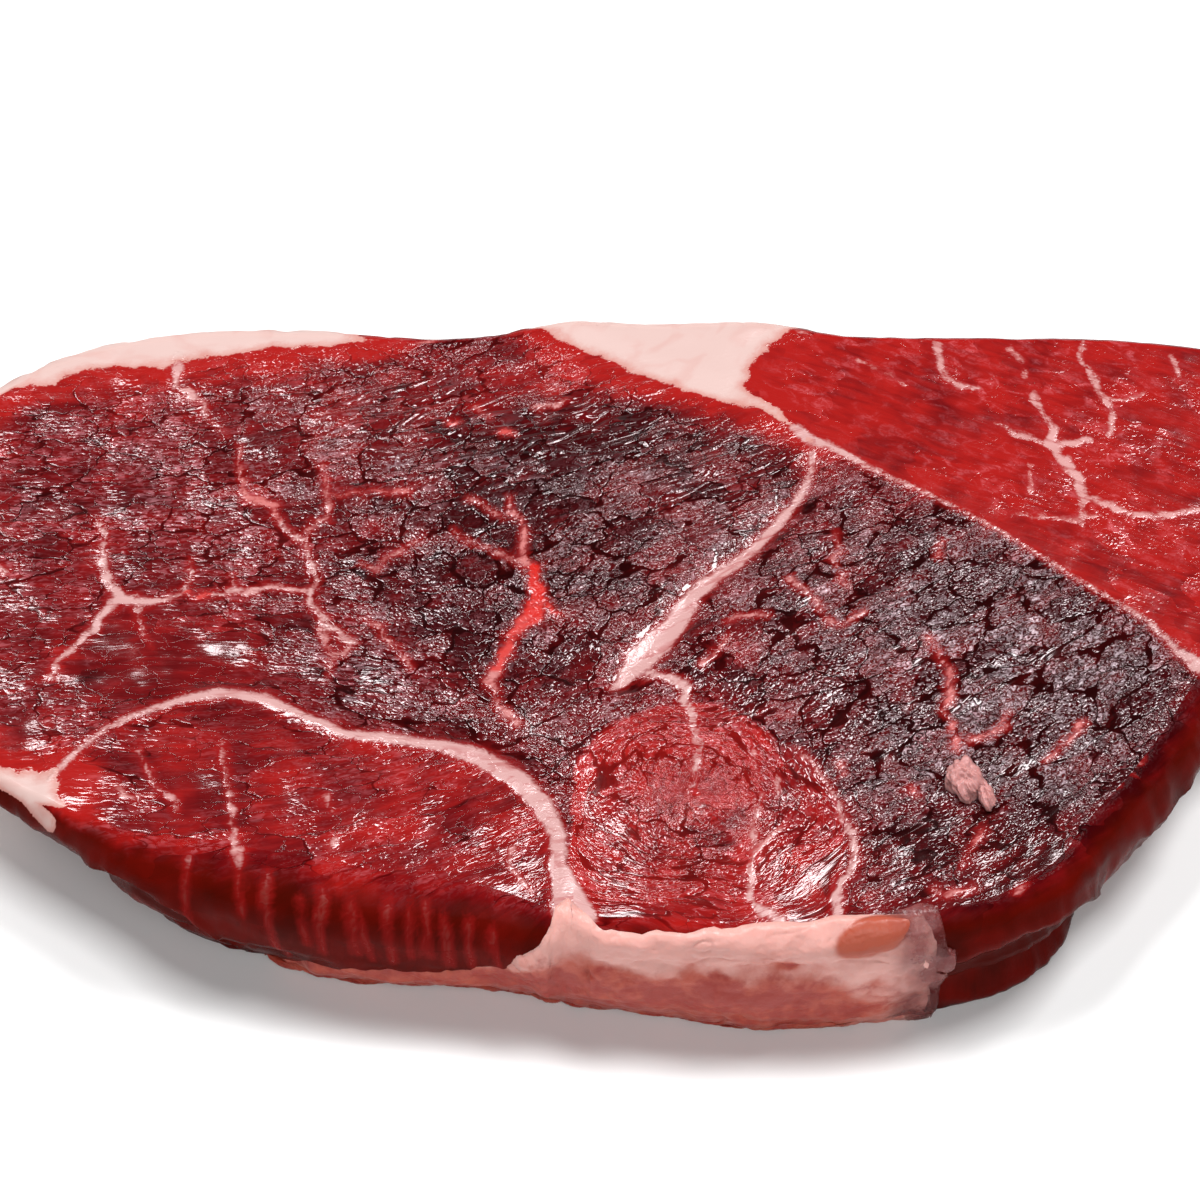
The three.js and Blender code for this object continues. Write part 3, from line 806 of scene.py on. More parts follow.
# Pale upright strands in the tail muscle's wall: station and how far over the edge, twice,
# then the width.
WALL_VEINS = (
    ((7.97, 0.28), (8.06, 1.15), 1.3), ((8.72, 0.2), (8.87, 0.85), 1.5),
    ((9.12, 0.35), (9.32, 1.65), 2.2), ((9.59, 0.55), (9.72, 1.1), 1.0),
    ((9.82, 0.42), (9.87, 1.25), 1.7), ((10.19, 0.48), (10.23, 1.2), 1.3),
    ((10.3, 0.7), (10.42, 1.3), 1.0), ((10.6, 0.4), (10.64, 1.3), 1.5),
    ((10.84, 0.42), (10.88, 1.15), 1.1), ((11.02, 0.38), (11.08, 1.1), 1.2),
    ((11.28, 0.5), (11.34, 1.3), 1.1), ((11.6, 0.55), (11.66, 1.3), 1.3),
    ((11.9, 0.62), (12.0, 1.3), 1.2),
)
# The pale wedge of fat at the tail's left end, on the roll and wall: station and w.
LEFT_FAT: Line = (
    (4.0, 0.1), (4.45, -0.4), (5.0, -3.0), (5.12, -1.0), (5.35, 0.0), (5.45, 0.5), (5.5, 0.75),
    (5.25, 1.0), (4.95, 0.75), (4.6, 0.5), (4.2, 0.4),
)


@dataclass(frozen=True)
class Trait:
    """A property of the lean: each muscle's level, and patches on the main and eye muscles.

    Attributes:
        main, tail, eye, cap: the levels.
        patches: x, y, half length, half height and amount of each soft oval patch.
    """

    main: float = 0.0
    tail: float = 0.0
    eye: float = 0.0
    cap: float = 0.0
    patches: tuple[tuple[float, float, float, float, float], ...] = ()

    def at(self, region: Array, x: Array, y: Array) -> Array:
        """The property: the muscle's level, plus the patches, each a bell.

        Args:
            region: Region value of each place.
            x, y: places on the plan.

        Returns:
            The property at each place.
        """
        levels = np.array([self.main, self.tail, self.eye, self.cap])
        extra = sum(amount * bell(np.hypot((x - px) / long, (y - py) / tall))
                    for px, py, long, tall, amount in self.patches)
        patchy = (region == Region.MAIN.value) | (region == Region.EYE.value)
        return levels[region] + np.where(patchy, extra, 0)


# Darkness of the lean.
DARKNESS = Trait(0.66, 0.42, 0.20, 0.19, (
    (-15, 10, 24, 26, 0.35), (5, 34, 30, 10, 0.3), (60, -32, 30, 26, 0.4), (55, 5, 30, 16, 0.3),
    (-25, -12, 22, 16, 0.15), (88, -20, 14, 22, 0.3), (-62, -12, 18, 9, -0.05),
    (-5, 48, 26, 6, -0.3), (-95, -8, 18, 18, -0.12), (20, 8, 18, 12, 0.1),
    (-60, 40, 26, 7, -0.1), (15, -48, 18, 7, 0.12),
))
# Wet shine of the lean.
WET_SHINE = Trait(0.6, 0.38, 0.36, 0.08, (
    (75, -15, 26, 34, 0.7), (-8, 30, 30, 18, 0.3), (-68, -12, 24, 12, -0.55),
    (-45, 40, 20, 8, 0.2), (5, 50, 20, 4, -0.2), (62, -50, 24, 9, -0.55), (-48, -6, 10, 8, 0.3),
    (-98, 20, 34, 60, -0.25), (-42, -18, 12, 5, 0.2),
))
# Thin crests that run along the grain.
# Thin ridges along the grain, in relief, with painted highlight lines on them.
CRESTS = Trait(patches=(
    (-5, 38, 38, 12, 1.0), (-45, 42, 24, 8, 0.45), (20, 20, 14, 14, 0.4), (20, 42, 12, 8, -0.6),
    (-25, 24, 16, 10, 0.5),
))
# Splits between the bundles.
SPLITS = Trait(0.8, 0.3, 0.85, patches=(
    (-5, 38, 38, 13, -0.4), (-68, -12, 20, 9, -0.6), (75, -15, 30, 40, 0.25),
    (-90, 10, 30, 60, -0.25),
))
# Painted highlights: pale sheen and glints of the cut fibres' wet ends, added to the flesh's colour.
PAINTED_SPARKLE = Trait(0.30, 0.22, 0.36, 0.30, patches=(
    (-68, -12, 20, 9, -0.4), (70, -12, 30, 30, 0.25), (-90, 25, 40, 22, 0.3),
    (-5, 38, 38, 13, -0.25), (-42, -17, 14, 6, 0.4), (62, -50, 22, 9, -0.35),
))
# Fibres drawn out long, as short flecks of shine.
FIBRES = Trait(0.15, 0.5, 0.1, 0.2, ((-85, 0, 45, 60, 0.8), (-30, -14, 20, 8, 0.4)))
# Broad furrows across the tail muscle.
TAIL_FURROWS = (
    ((-21.5, -36), (-23, -40), (-25.5, -45.5), (-27.5, -51), (-30.5, -56)),
    ((-33, -40), (-36.7, -46.3), (-40, -50), (-43.5, -54)),
    ((-15.5, -42), (-17.5, -48), (-17, -53)),
    ((-50, -30), (-52, -36), (-50.5, -41), (-53, -47)),
    ((-69, -28), (-66, -33), (-64.5, -40), (-66, -46)),
)
# Stretches of the rim where the shine fades and the flesh darkens: stations from and to, how
# much it fades, over what width, and how much it darkens.
CALM_RIMS = (
    (16.6, 31.0, 0.85, 6.0, 0.1), (7.5, 12.9, 0.3, 3.0, 0.22), (12.9, 16.4, 0.6, 3.0, 0.12),
)


# ------------------------------------------------------------------ meshes


def corners_of(faces: Sequence[Array]) -> tuple[Array, Array]:
    """Vertex numbers of all the face corners in a row, and how many corners each face has."""
    counts = np.concatenate([np.full(len(f), f.shape[1]) for f in faces])
    return np.concatenate([f.ravel() for f in faces]), counts


def make_mesh(name: str, places: Array, faces: list[Array]) -> bpy.types.Object:
    """Makes a smooth mesh object from plan places in millimetres.

    Args:
        name: the object's name.
        places: x, y and z of each vertex, on the plan.
        faces: arrays of vertex numbers, one row to a face, each array with its own row length.

    Returns:
        The object, at the origin, with its place in its mesh.
    """
    mesh = bpy.data.meshes.new(name)
    moved = (places - np.array([*PLAN_CENTRE, 0.0])) * METRES
    loops, counts = (numbers.astype(np.int32) for numbers in corners_of(faces))
    starts = (np.cumsum(counts) - counts).astype(np.int32)
    mesh.vertices.add(len(places))
    mesh.vertices.foreach_set("co", moved.astype(np.float32).ravel())
    mesh.loops.add(len(loops))
    mesh.loops.foreach_set("vertex_index", loops)
    mesh.polygons.add(len(counts))
    mesh.polygons.foreach_set("loop_start", starts)
    mesh.polygons.foreach_set("loop_total", counts)
    mesh.polygons.foreach_set("use_smooth", np.ones(len(counts), bool))
    mesh.update(calc_edges=True)
    mesh.validate()
    thing = bpy.data.objects.new(name, mesh)
    bpy.context.scene.collection.objects.link(thing)
    return thing


def add_attribute(thing: bpy.types.Object, name: str, values: Array) -> None:
    """Stores one number at each vertex, for the material to read."""
    layer = thing.data.attributes.new(name, "FLOAT", "POINT")
    layer.data.foreach_set("value", np.ascontiguousarray(values, np.float32))


def add_uv(thing: bpy.types.Object, name: str, corners: Array) -> None:
    """Stores a pair of coordinates at each face corner."""
    layer = thing.data.uv_layers.new(name=name)
    layer.data.foreach_set("uv", np.ascontiguousarray(corners, np.float32).ravel())


def quads(rows: int, columns: int) -> Array:
    """Faces of a grid of vertices that are numbered along its rows.

    Args:
        rows, columns: numbers of vertices.

    Returns:
        The vertex numbers of each face, anticlockwise.
    """
    i, j = np.meshgrid(np.arange(columns - 1), np.arange(rows - 1))
    a = (j * columns + i).ravel()
    return np.stack([a, a + 1, a + columns + 1, a + columns], axis=1)


def border_ids(rows: int, columns: int) -> Array:
    """Vertex numbers of a grid's border, anticlockwise from the near left corner."""
    ids = np.arange(rows * columns).reshape(rows, columns)
    return np.concatenate([ids[0, :-1], ids[:-1, -1], ids[-1, :0:-1], ids[:0:-1, 0]])


def closed_shell(name: str, outer: Array, inner: Array) -> tuple[bpy.types.Object, Array]:
    """Joins two grids of the same size along their borders into one closed piece.

    Args:
        name: the object's name.
        outer: the outer face's places, rows by columns by 3, its faces pointing out.
        inner: the inner face's places.

    Returns:
        The object, and the face corners' vertex numbers.
    """
    rows, columns = outer.shape[:2]
    count = rows * columns
    face = quads(rows, columns)
    ring = border_ids(rows, columns)
    after = np.roll(ring, -1)
    side = np.stack([ring + count, after + count, after, ring], axis=1)
    faces = [face, face[:, ::-1] + count, side]
    places = np.concatenate([outer.reshape(-1, 3), inner.reshape(-1, 3)])
    return make_mesh(name, places, faces), corners_of(faces)[0]


# ------------------------------------------------------------------ shader graphs


@dataclass(frozen=True)
class Wire:
    """A node's output, on which sums and products can be written.

    Attributes:
        graph: the graph that its node is in.
        socket: the output.
    """

    graph: "Graph"
    socket: Socket

    def __add__(self, other: object) -> "Wire":
        """This plus the other."""
        return self.graph.math("ADD", self, other)

    def __sub__(self, other: object) -> "Wire":
        """This less the other."""
        return self.graph.math("SUBTRACT", self, other)

    def __rsub__(self, other: object) -> "Wire":
        """The other less this."""
        return self.graph.math("SUBTRACT", other, self)

    def __mul__(self, other: object) -> "Wire":
        """This times the other."""
        return self.graph.math("MULTIPLY", self, other)

    def __truediv__(self, other: object) -> "Wire":
        """This over the other."""
        return self.graph.math("DIVIDE", self, other)


@dataclass(frozen=True)
class Pins:
    """A node's outputs, read by name or number.

    Attributes:
        graph: the graph that the node is in.
        node: the node.
    """

    graph: "Graph"
    node: bpy.types.Node

    def __getitem__(self, key: str | int) -> Wire:
        """One output."""
        return Wire(self.graph, self.node.outputs[key])


class Graph:
    """Adds nodes to one node tree, with outputs or plain values as inputs."""

    def __init__(self, tree: bpy.types.NodeTree) -> None:
        """Works on the given tree."""
        self.tree = tree

    def feed(self, sockets: bpy.types.bpy_prop_collection, values: dict) -> None:
        """Links each input to an output, or sets its own value.

        Args:
            sockets: a node's inputs.
            values: for each input, by name or number, an output or a plain value.
        """
        for key, value in values.items():
            if isinstance(value, Wire):
                self.tree.links.new(value.socket, sockets[key])
            else:
                sockets[key].default_value = value

    def node(self, kind: str, inputs: dict | None = None, **settings: object) -> Pins:
        """Adds a node.

        Args:
            kind: the node's type, without its leading ShaderNode.
            inputs: what feeds its inputs.
            settings: the node's own settings.

        Returns:
            Its outputs.
        """
        made = self.tree.nodes.new("ShaderNode" + kind)
        for key, value in settings.items():
            setattr(made, key, value)
        self.feed(made.inputs, inputs or {})
        return Pins(self, made)

    def math(self, operation: str, a: object, b: object = 0.0) -> Wire:
        """One step of arithmetic."""
        return self.node("Math", {0: a, 1: b}, operation=operation)[0]

    def ease(self, value: Wire, low: object, high: object, start: float = 0.0, end: float = 1.0,
             course: str = "SMOOTHSTEP") -> Wire:
        """Eases from start to end as the value goes from low to high, and no further."""
        inputs = {"Value": value, "From Min": low, "From Max": high, "To Min": start, "To Max": end}
        return self.node("MapRange", inputs, interpolation_type=course)[0]

    def scale(self, value: Wire, low: float, high: float, start: float = 0.0,
              end: float = 1.0) -> Wire:
        """Goes straight from start to end as the value goes from low to high, and no further."""
        return self.ease(value, low, high, start, end, "LINEAR")

    def mix(self, share: Wire, a: Wire, b: Wire) -> Wire:
        """Blends two numbers by a share."""
        return self.node("Mix", {0: share, 2: a, 3: b})[0]

    def blend(self, share: Wire, a: object, b: object, kind: str = "MIX") -> Wire:
        """Blends two colours by a share."""
        return self.node("Mix", {0: share, 6: a, 7: b}, data_type="RGBA", blend_type=kind)[2]

    def attribute(self, name: str) -> Wire:
        """Reads a number stored at the vertices."""
        return self.node("Attribute", attribute_name=name)["Fac"]

    def grain(self) -> Wire:
        """Reads the grain coordinates stored at the face corners."""
        return self.node("UVMap", uv_map="grain")[0]

    def noise(self, vector: Wire, scale: float, detail: float) -> Wire:
        """Noise from 0 to 1."""
        return self.node("TexNoise", {"Vector": vector, "Scale": scale, "Detail": detail,
                                      "Roughness": 0.6})[0]

    def group(self, tree: bpy.types.NodeTree, inputs: dict) -> Pins:
        """Places a node group with its own values."""
        return self.node("Group", inputs, node_tree=tree)

    def bump(self, height: Wire) -> Wire:
        """The normal of a relief given in millimetres."""
        return self.node("Bump", {"Strength": 1.0, "Distance": METRES, "Height": height})[0]


class GroupMaker:
    """Starts a node group with named inputs and outputs."""

    def __init__(self, name: str, inputs: dict[str, float | None], outputs: Sequence[str]) -> None:
        """Makes the group's sockets.

        Args:
            name: the group's name.
            inputs: each number's default, or none for a vector.
            outputs: names of the outputs, which are all numbers.
        """
        self.tree = bpy.data.node_groups.new(name, "ShaderNodeTree")
        for key, default in inputs.items():
            kind = "NodeSocketVector" if default is None else "NodeSocketFloat"
            made = self.tree.interface.new_socket(key, in_out="INPUT", socket_type=kind)
            if default is not None:
                made.default_value = default
        for key in outputs:
            self.tree.interface.new_socket(key, in_out="OUTPUT", socket_type="NodeSocketFloat")
        self.graph = Graph(self.tree)
        self.start = Pins(self.graph, self.tree.nodes.new("NodeGroupInput"))
        self.end = self.tree.nodes.new("NodeGroupOutput").inputs

    def waves(self) -> Wire:
        """Grain coordinates counted in waves.

        Returns:
            The first over pitch times stretch, and the second over pitch, as a vector.
        """
        parts = self.graph.node("SeparateXYZ", {0: self.start["Grain"]})
        pitch = self.start["Pitch"]
        x, y = parts[0] / (pitch * self.start["Stretch"]), parts[1] / pitch
        return self.graph.node("CombineXYZ", {0: x, 1: y})[0]


def grain_group() -> bpy.types.NodeTree:
    """Wrinkles drawn out along the grain.

    They are flat noise, and a crest is where the noise is within a line's width of a half.

    Returns:
        The group, which puts out a height from 0 to 1 and a crest mask.
    """
    maker = GroupMaker("drawn out wrinkles", {
        "Grain": None, "Pitch": 1.0, "Stretch": 2.0, "Detail": 2.0, "Distortion": 0.4, "Line": 0.05,
    }, ("Height", "Crest"))
    g, start = maker.graph, maker.start
    height = g.node("TexNoise", {
        "Vector": maker.waves(), "Scale": 1.0, "Detail": start["Detail"], "Roughness": 0.55,
        "Distortion": start["Distortion"]}, noise_dimensions="2D")[0]
    off = g.math("ABSOLUTE", height - 0.5)
    g.feed(maker.end, {"Height": height, "Crest": g.ease(off, 0.0, start["Line"], 1.0, 0.0)})
    return maker.tree


def crack_group() -> bpy.types.NodeTree:
    """Splits between bundles of grain.

    They are the borders of cells stretched along the grain, pushed about by noise.

    Returns:
        The group, which puts out 1 in a split, and a number of its own for each bundle.
    """
    maker = GroupMaker("splits along the grain", {
        "Grain": None, "Pitch": 4.0, "Stretch": 2.0, "Width": 0.06, "Wander": 0.5,
    }, ("Split", "Cell"))
    g, start = maker.graph, maker.start
    waves = maker.waves()
    drift = g.node("TexNoise", {"Vector": waves, "Scale": 1.4, "Detail": 2.0},
                   noise_dimensions="2D")[1]
    centred = g.node("VectorMath", {0: drift, 1: (0.5, 0.5, 0.5)}, operation="SUBTRACT")[0]
    pushed = g.node("VectorMath", {0: centred, "Scale": start["Wander"]}, operation="SCALE")[0]
    place = g.node("VectorMath", {0: waves, 1: pushed}, operation="ADD")[0]
    cell = {"Vector": place, "Scale": 1.0}
    border = g.node("TexVoronoi", cell, voronoi_dimensions="2D", feature="DISTANCE_TO_EDGE")[0]
    own = g.node("TexVoronoi", cell, voronoi_dimensions="2D")["Color"]
    width = start["Width"]
    g.feed(maker.end, {"Split": g.ease(border, width * 0.35, width, 1.0, 0.0),
                       "Cell": g.node("SeparateXYZ", {0: own})[0]})
    return maker.tree


class SharedGroups:
    """The node groups that several finishes use, each built once."""

    def __init__(self) -> None:
        """Builds the groups."""
        self.grain = grain_group()
        self.crack = crack_group()


def new_material(name: str) -> tuple[bpy.types.Material, Graph, bpy.types.bpy_prop_collection]:
    """Starts a material made of nodes.

    Args:
        name: the material's name.

    Returns:
        The material, its graph, and the inputs of its Principled shader.
    """
    material = bpy.data.materials.new(name)
    material.use_nodes = True
    tree = material.node_tree
    return material, Graph(tree), tree.nodes["Principled BSDF"].inputs


# Refraction of the wet film on lean and fat.
WET_IOR = 1.42


@dataclass(frozen=True)
class LeanFinish:
    """Wet raw lean: red to near-black flesh, pale marbling, fat where it shows on the face.

    Its colour also holds painted highlights, painted glow and painted shade.

    Attributes:
        name: the material's name.
        gloss: how strongly its wet film mirrors.
        bright, middle, dark: the flesh from fresh red to deep maroon.
        split: painted shade: what the flesh's colour is multiplied by in a split.
        painted_sheen, painted_glint: painted sheen and painted glints that the wet fibre ends add to
            the flesh's colour, dull and glossy.
        vein, hot: pale marbling and blood-red marbling.
        painted_glow: painted glow of light through the flesh beside marbling, also laid into the
            marbling in places.
        wall_red, wall_brown: the cut flesh of the outer wall, fresh and darkened.
        wall_vein: marbling in the outer wall.
        fat, flushed: fat that lies in the face, clean and stained.
    """

    name: str = "lean meat"
    gloss: float = 0.8
    bright: tuple = (0.32, 0.0090, 0.0075, 1)
    middle: tuple = (0.135, 0.0034, 0.0045, 1)
    dark: tuple = (0.034, 0.0009, 0.0017, 1)
    split: tuple = (0.36, 0.22, 0.24, 1)
    painted_sheen: tuple = (0.32, 0.13, 0.15, 1)
    painted_glint: tuple = (0.58, 0.48, 0.53, 1)
    vein: tuple = (0.51, 0.28, 0.27, 1)
    hot: tuple = (0.50, 0.012, 0.007, 1)
    painted_glow: tuple = (0.30, 0.009, 0.009, 1)
    wall_red: tuple = (0.113, 0.0034, 0.0016, 1)
    wall_brown: tuple = (0.060, 0.0029, 0.0011, 1)
    wall_vein: tuple = (0.20, 0.045, 0.036, 1)
    fat: tuple = (0.57, 0.40, 0.37, 1)
    flushed: tuple = (0.50, 0.21, 0.18, 1)

    def make(self, groups: SharedGroups) -> bpy.types.Material:
        """Builds the material.

        Args:
            groups: the shared node groups.

        Returns:
            The material.
        """
        material, g, shader = new_material(self.name)
        grain = g.grain()
        tone, shine, ridge, wall, cracked, fibrous = (
            g.attribute(name) for name in ("tone", "shine", "ridge", "wall", "cracked", "fibrous"))

        def wrinkles(pitch: float, stretch: float, detail: float, wobble: float) -> Pins:
            """Drawn out wrinkles of one size.

            Args:
                pitch, stretch, detail, wobble: the group's inputs.

            Returns:
                The group's outputs.
            """
            return g.group(groups.grain, {
                "Grain": grain, "Pitch": pitch, "Stretch": stretch, "Detail": detail,
                "Distortion": wobble, "Line": 0.2})

        def cracks(pitch: float, wander: float, width: Wire) -> Pins:
            """Splits of one size, as wide as the lean is cracked.

            Args:
                pitch, wander, width: the group's inputs.

            Returns:
                The group's outputs.
            """
            return g.group(groups.crack, {
                "Grain": grain, "Pitch": pitch, "Stretch": 1.8, "Wander": wander,
                "Width": cracked * width})

        fine = wrinkles(0.62, 1.5, 0.3, 1.1)["Height"]
        fibre = wrinkles(0.50, 3.2, 0.6, 0.6)["Height"]
        long = wrinkles(1.3, 5.5, 2.5, 0.35)["Height"]
        drift = wrinkles(4.5, 1.5, 2.0, 0.5)["Height"]
        cloud = wrinkles(2.2, 1.8, 3.0, 0.7)["Height"]
        crest = wrinkles(2.7, 4.5, 1.5, 0.9)["Crest"]
        speck = g.mix(fibrous, fine, fibre)
        bundles = cracks(5.2, 0.9, g.scale(drift, 0.38, 0.66, 0.05, 0.18))
        small = cracks(2.2, 0.8, g.scale(drift, 0.62, 0.38, 0.03, 0.14))["Split"]

        # how much of the face is marbling or fat
        fray = (long - 0.5 + (fine - 0.5)) * 0.75
        edge = g.attribute("vein") + fray
        vein = g.ease(edge, 0.30, -0.60)
        # where the painted glow lies round the marbling, as of light through the flesh
        painted_glow = g.ease(edge, 1.5, -0.2) * 0.55
        brim = g.attribute("fat") + fray
        fat = g.ease(brim, 0.15, -0.25)
        pale = g.math("MAXIMUM", vein, fat)

        # smooth splits between bundles; in the colour they are painted darker, as shade
        splits = g.math("MAXIMUM", bundles["Split"], small * 0.75)
        splits = splits * g.scale(cracked, 0.05, 0.25) * (1.0 - pale)
        plateau = 1.0 - splits

        # colour
        own = bundles["Cell"]
        dark = tone + (long - 0.5) * 0.6 + (0.5 - own) * 0.25
        low = g.blend(g.scale(dark, 0.0, 0.5), self.bright, self.middle)
        colour = g.blend(g.scale(dark, 0.5, 1.0), low, self.dark)
        # Painted highlights: sheen and glints of the wet fibre ends, and lines along the ridges, added
        # to the colour.
        painted_highlights = g.ease(speck, 0.44, 0.67) * g.ease(cloud, 0.36, 0.60, 0.3, 1.1)
        dull = g.ease(cloud, 0.46, 0.70) * g.ease(fine, 0.40, 0.62, 0.35, 1.2)
        painted_highlights = g.mix(g.scale(shine, 0.3, 0.1), painted_highlights, dull)
        crest_glints = g.ease(crest, 0.8, 1.0) * g.ease(cloud, 0.42, 0.56)
        lively = g.scale(own, 0.1, 0.9, 0.35, 1.3)
        painted_highlights = g.mix(ridge, painted_highlights, crest_glints) * g.attribute("painted_sheen") * (plateau * lively)
        tint = g.blend(g.scale(shine, 0.45, 1.0), self.painted_sheen, self.painted_glint)
        colour = g.blend(painted_highlights, colour, tint, "ADD")
        rind = g.blend(g.scale(dark, 0.3, 1.1), self.wall_red, self.wall_brown)
        colour = g.blend(wall, colour, rind)
        # Painted shade: the flesh darker in the splits between bundles.
        split_shade = splits * g.scale(dark, 0.1, 0.8, 0.7, 1.0)
        colour = g.blend(split_shade, colour, self.split, "MULTIPLY")
        # Painted glow round the marbling; the marbling takes some of the glow colour too.
        colour = g.blend(painted_glow, colour, self.painted_glow)
        strand = g.blend(g.attribute("blood"), self.vein, self.hot)
        strand = g.blend(g.ease(long, 0.5, 0.7) * 0.45, strand, self.painted_glow)
        strand = g.blend(wall, strand, self.wall_vein)
        colour = g.blend(vein * g.scale(wall, 0.0, 1.0, 1.0, 0.6), colour, strand)
        tallow = g.blend(g.ease(brim, -2.2, 0.3), self.fat, self.flushed)
        streak = g.ease(drift, 0.45, 0.75) * g.scale(wall, 0.0, 1.0, 0.22, 0.6)
        tallow = g.blend(streak, tallow, self.flushed)
        colour = g.blend(fat, colour, tallow)

        # relief, in millimetres
        banded = 1.0 - ridge * (1.0 - g.ease(drift, 0.48, 0.66))
        steep = g.scale(fibrous, 0.0, 1.0, 1.0, 0.6)
        wrinkle = (speck - 0.5) * steep * g.scale(shine, 0.0, 1.0, 0.03, 0.52)
        wrinkle = wrinkle * (plateau * banded) * lively
        height = wrinkle + (crest * ridge * 0.26 + long * 0.08) - splits * 0.025
        height = height * g.scale(pale, 0.0, 1.0, 1.0, 0.3) * g.scale(wall, 0.0, 1.0, 1.0, 0.5)

        g.feed(shader, {
            "Base Color": colour,
            "Roughness": g.scale(shine, 0.0, 0.8, 0.15, 0.09) + pale * 0.15 + wall * 0.12,
            "Normal": g.bump(height + vein * 0.10),
            "IOR": WET_IOR,
            "Specular IOR Level": self.gloss,
            "Specular Tint": (1.0, 0.90, 0.92, 1),
        })
        return material


LEAN_SIDE = LeanFinish(name="lean side", gloss=0.02)


@dataclass(frozen=True)
class FatFinish:
    """Raw fat and connective tissue, pale and greasy, stained with blood in places.

    Attributes:
        name: the material's name.
        pale: the clean fat.
        flushed: fat stained by the lean beside it.
        blood: small red stains.
        stain: how much of it is stained, from 0 to 1.
        fibre: how strongly strands show along its length.
        roughness: of its surface, from 0 to 1.
        sinew, sinew_dark: the tendon set in it, thin and thick.
        film: how far it lets the flesh behind it through, from 0 to 1.
    """

    name: str
    pale: tuple
    flushed: tuple
    blood: tuple
    sinew: tuple = (0.38, 0.056, 0.019, 1)
    sinew_dark: tuple = (0.33, 0.042, 0.015, 1)
    stain: float = 0.5
    fibre: float = 0.0
    roughness: float = 0.36
    film: float = 0.0

    def make(self, groups: SharedGroups) -> bpy.types.Material:
        """Builds the material.

        Args:
            groups: the shared node groups.

        Returns:
            The material.
        """
        material, g, shader = new_material(self.name)
        place = g.node("TexCoord")["Object"]
        flush = g.attribute("flush")
        cloud, spot, grit = (g.noise(place, scale, detail)
                             for scale, detail in ((120, 4.0), (330, 3.0), (900, 3.0)))
        strands = g.group(groups.grain, {"Grain": g.grain(), "Pitch": 0.5, "Stretch": 9.0,
                                         "Detail": 2.0, "Distortion": 0.2})["Height"]
        stained = flush + (cloud - 0.5) * 1.2
        colour = g.blend(g.ease(stained, 0.25, 0.95), self.pale, self.flushed)
        red = flush * 0.4 + (spot - 0.45)
        colour = g.blend(g.ease(red, 0.30, 0.62, 0.0, self.stain), colour, self.blood)
        line = g.ease(strands, 0.58, 0.35) * self.fibre
        colour = g.blend(line, colour, self.flushed)
        tendon = g.blend(g.ease(cloud, 0.4, 0.65), self.sinew, self.sinew_dark)
        g.feed(shader, {
            "Base Color": g.blend(g.attribute("sinew") * 0.9, colour, tendon),
            "Roughness": g.scale(grit, 0.3, 0.7, self.roughness - 0.08, self.roughness + 0.1),
            "Normal": g.bump(cloud * 0.6 + grit * 0.08 + strands * (0.25 * self.fibre)),
            "IOR": WET_IOR,
            "Specular IOR Level": 0.4,
            "Subsurface Weight": 0.35,
            "Subsurface Radius": (1.0, 0.45, 0.35),
            "Subsurface Scale": 0.0016,
        })
        if self.film:
            hole = g.ease(cloud, 0.62, 0.38) * self.film
            g.feed(shader, {"Alpha": (0.8 - hole) * g.attribute("veil")})
        return material


CAP_FAT = FatFinish("cap fat", (0.68, 0.34, 0.30, 1), (0.44, 0.074, 0.042, 1),
                    (0.30, 0.018, 0.012, 1), stain=0.8)
CRUMB_FAT = FatFinish("crumb fat", (0.50, 0.23, 0.22, 1), (0.42, 0.11, 0.10, 1),
                      (0.31, 0.022, 0.022, 1), stain=0.7)
FILM = FatFinish("membrane", (0.25, 0.068, 0.068, 1), (0.20, 0.036, 0.030, 1),
                 (0.26, 0.06, 0.06, 1), stain=0.2, fibre=0.15, roughness=0.25, film=0.55)


# ------------------------------------------------------------------ pieces


# How far over the edge the wall's upright grain starts and ends, and the flat base starts.
WALL_GRAIN = (0.9, 2.95)
BASE_START = 2.98
# Steps inside one face that show it spans the outline's start, in stations, or the start of
# the eye's turn of grain, in millimetres.
OUTLINE_JUMP = 5
GRAIN_JUMP = 9


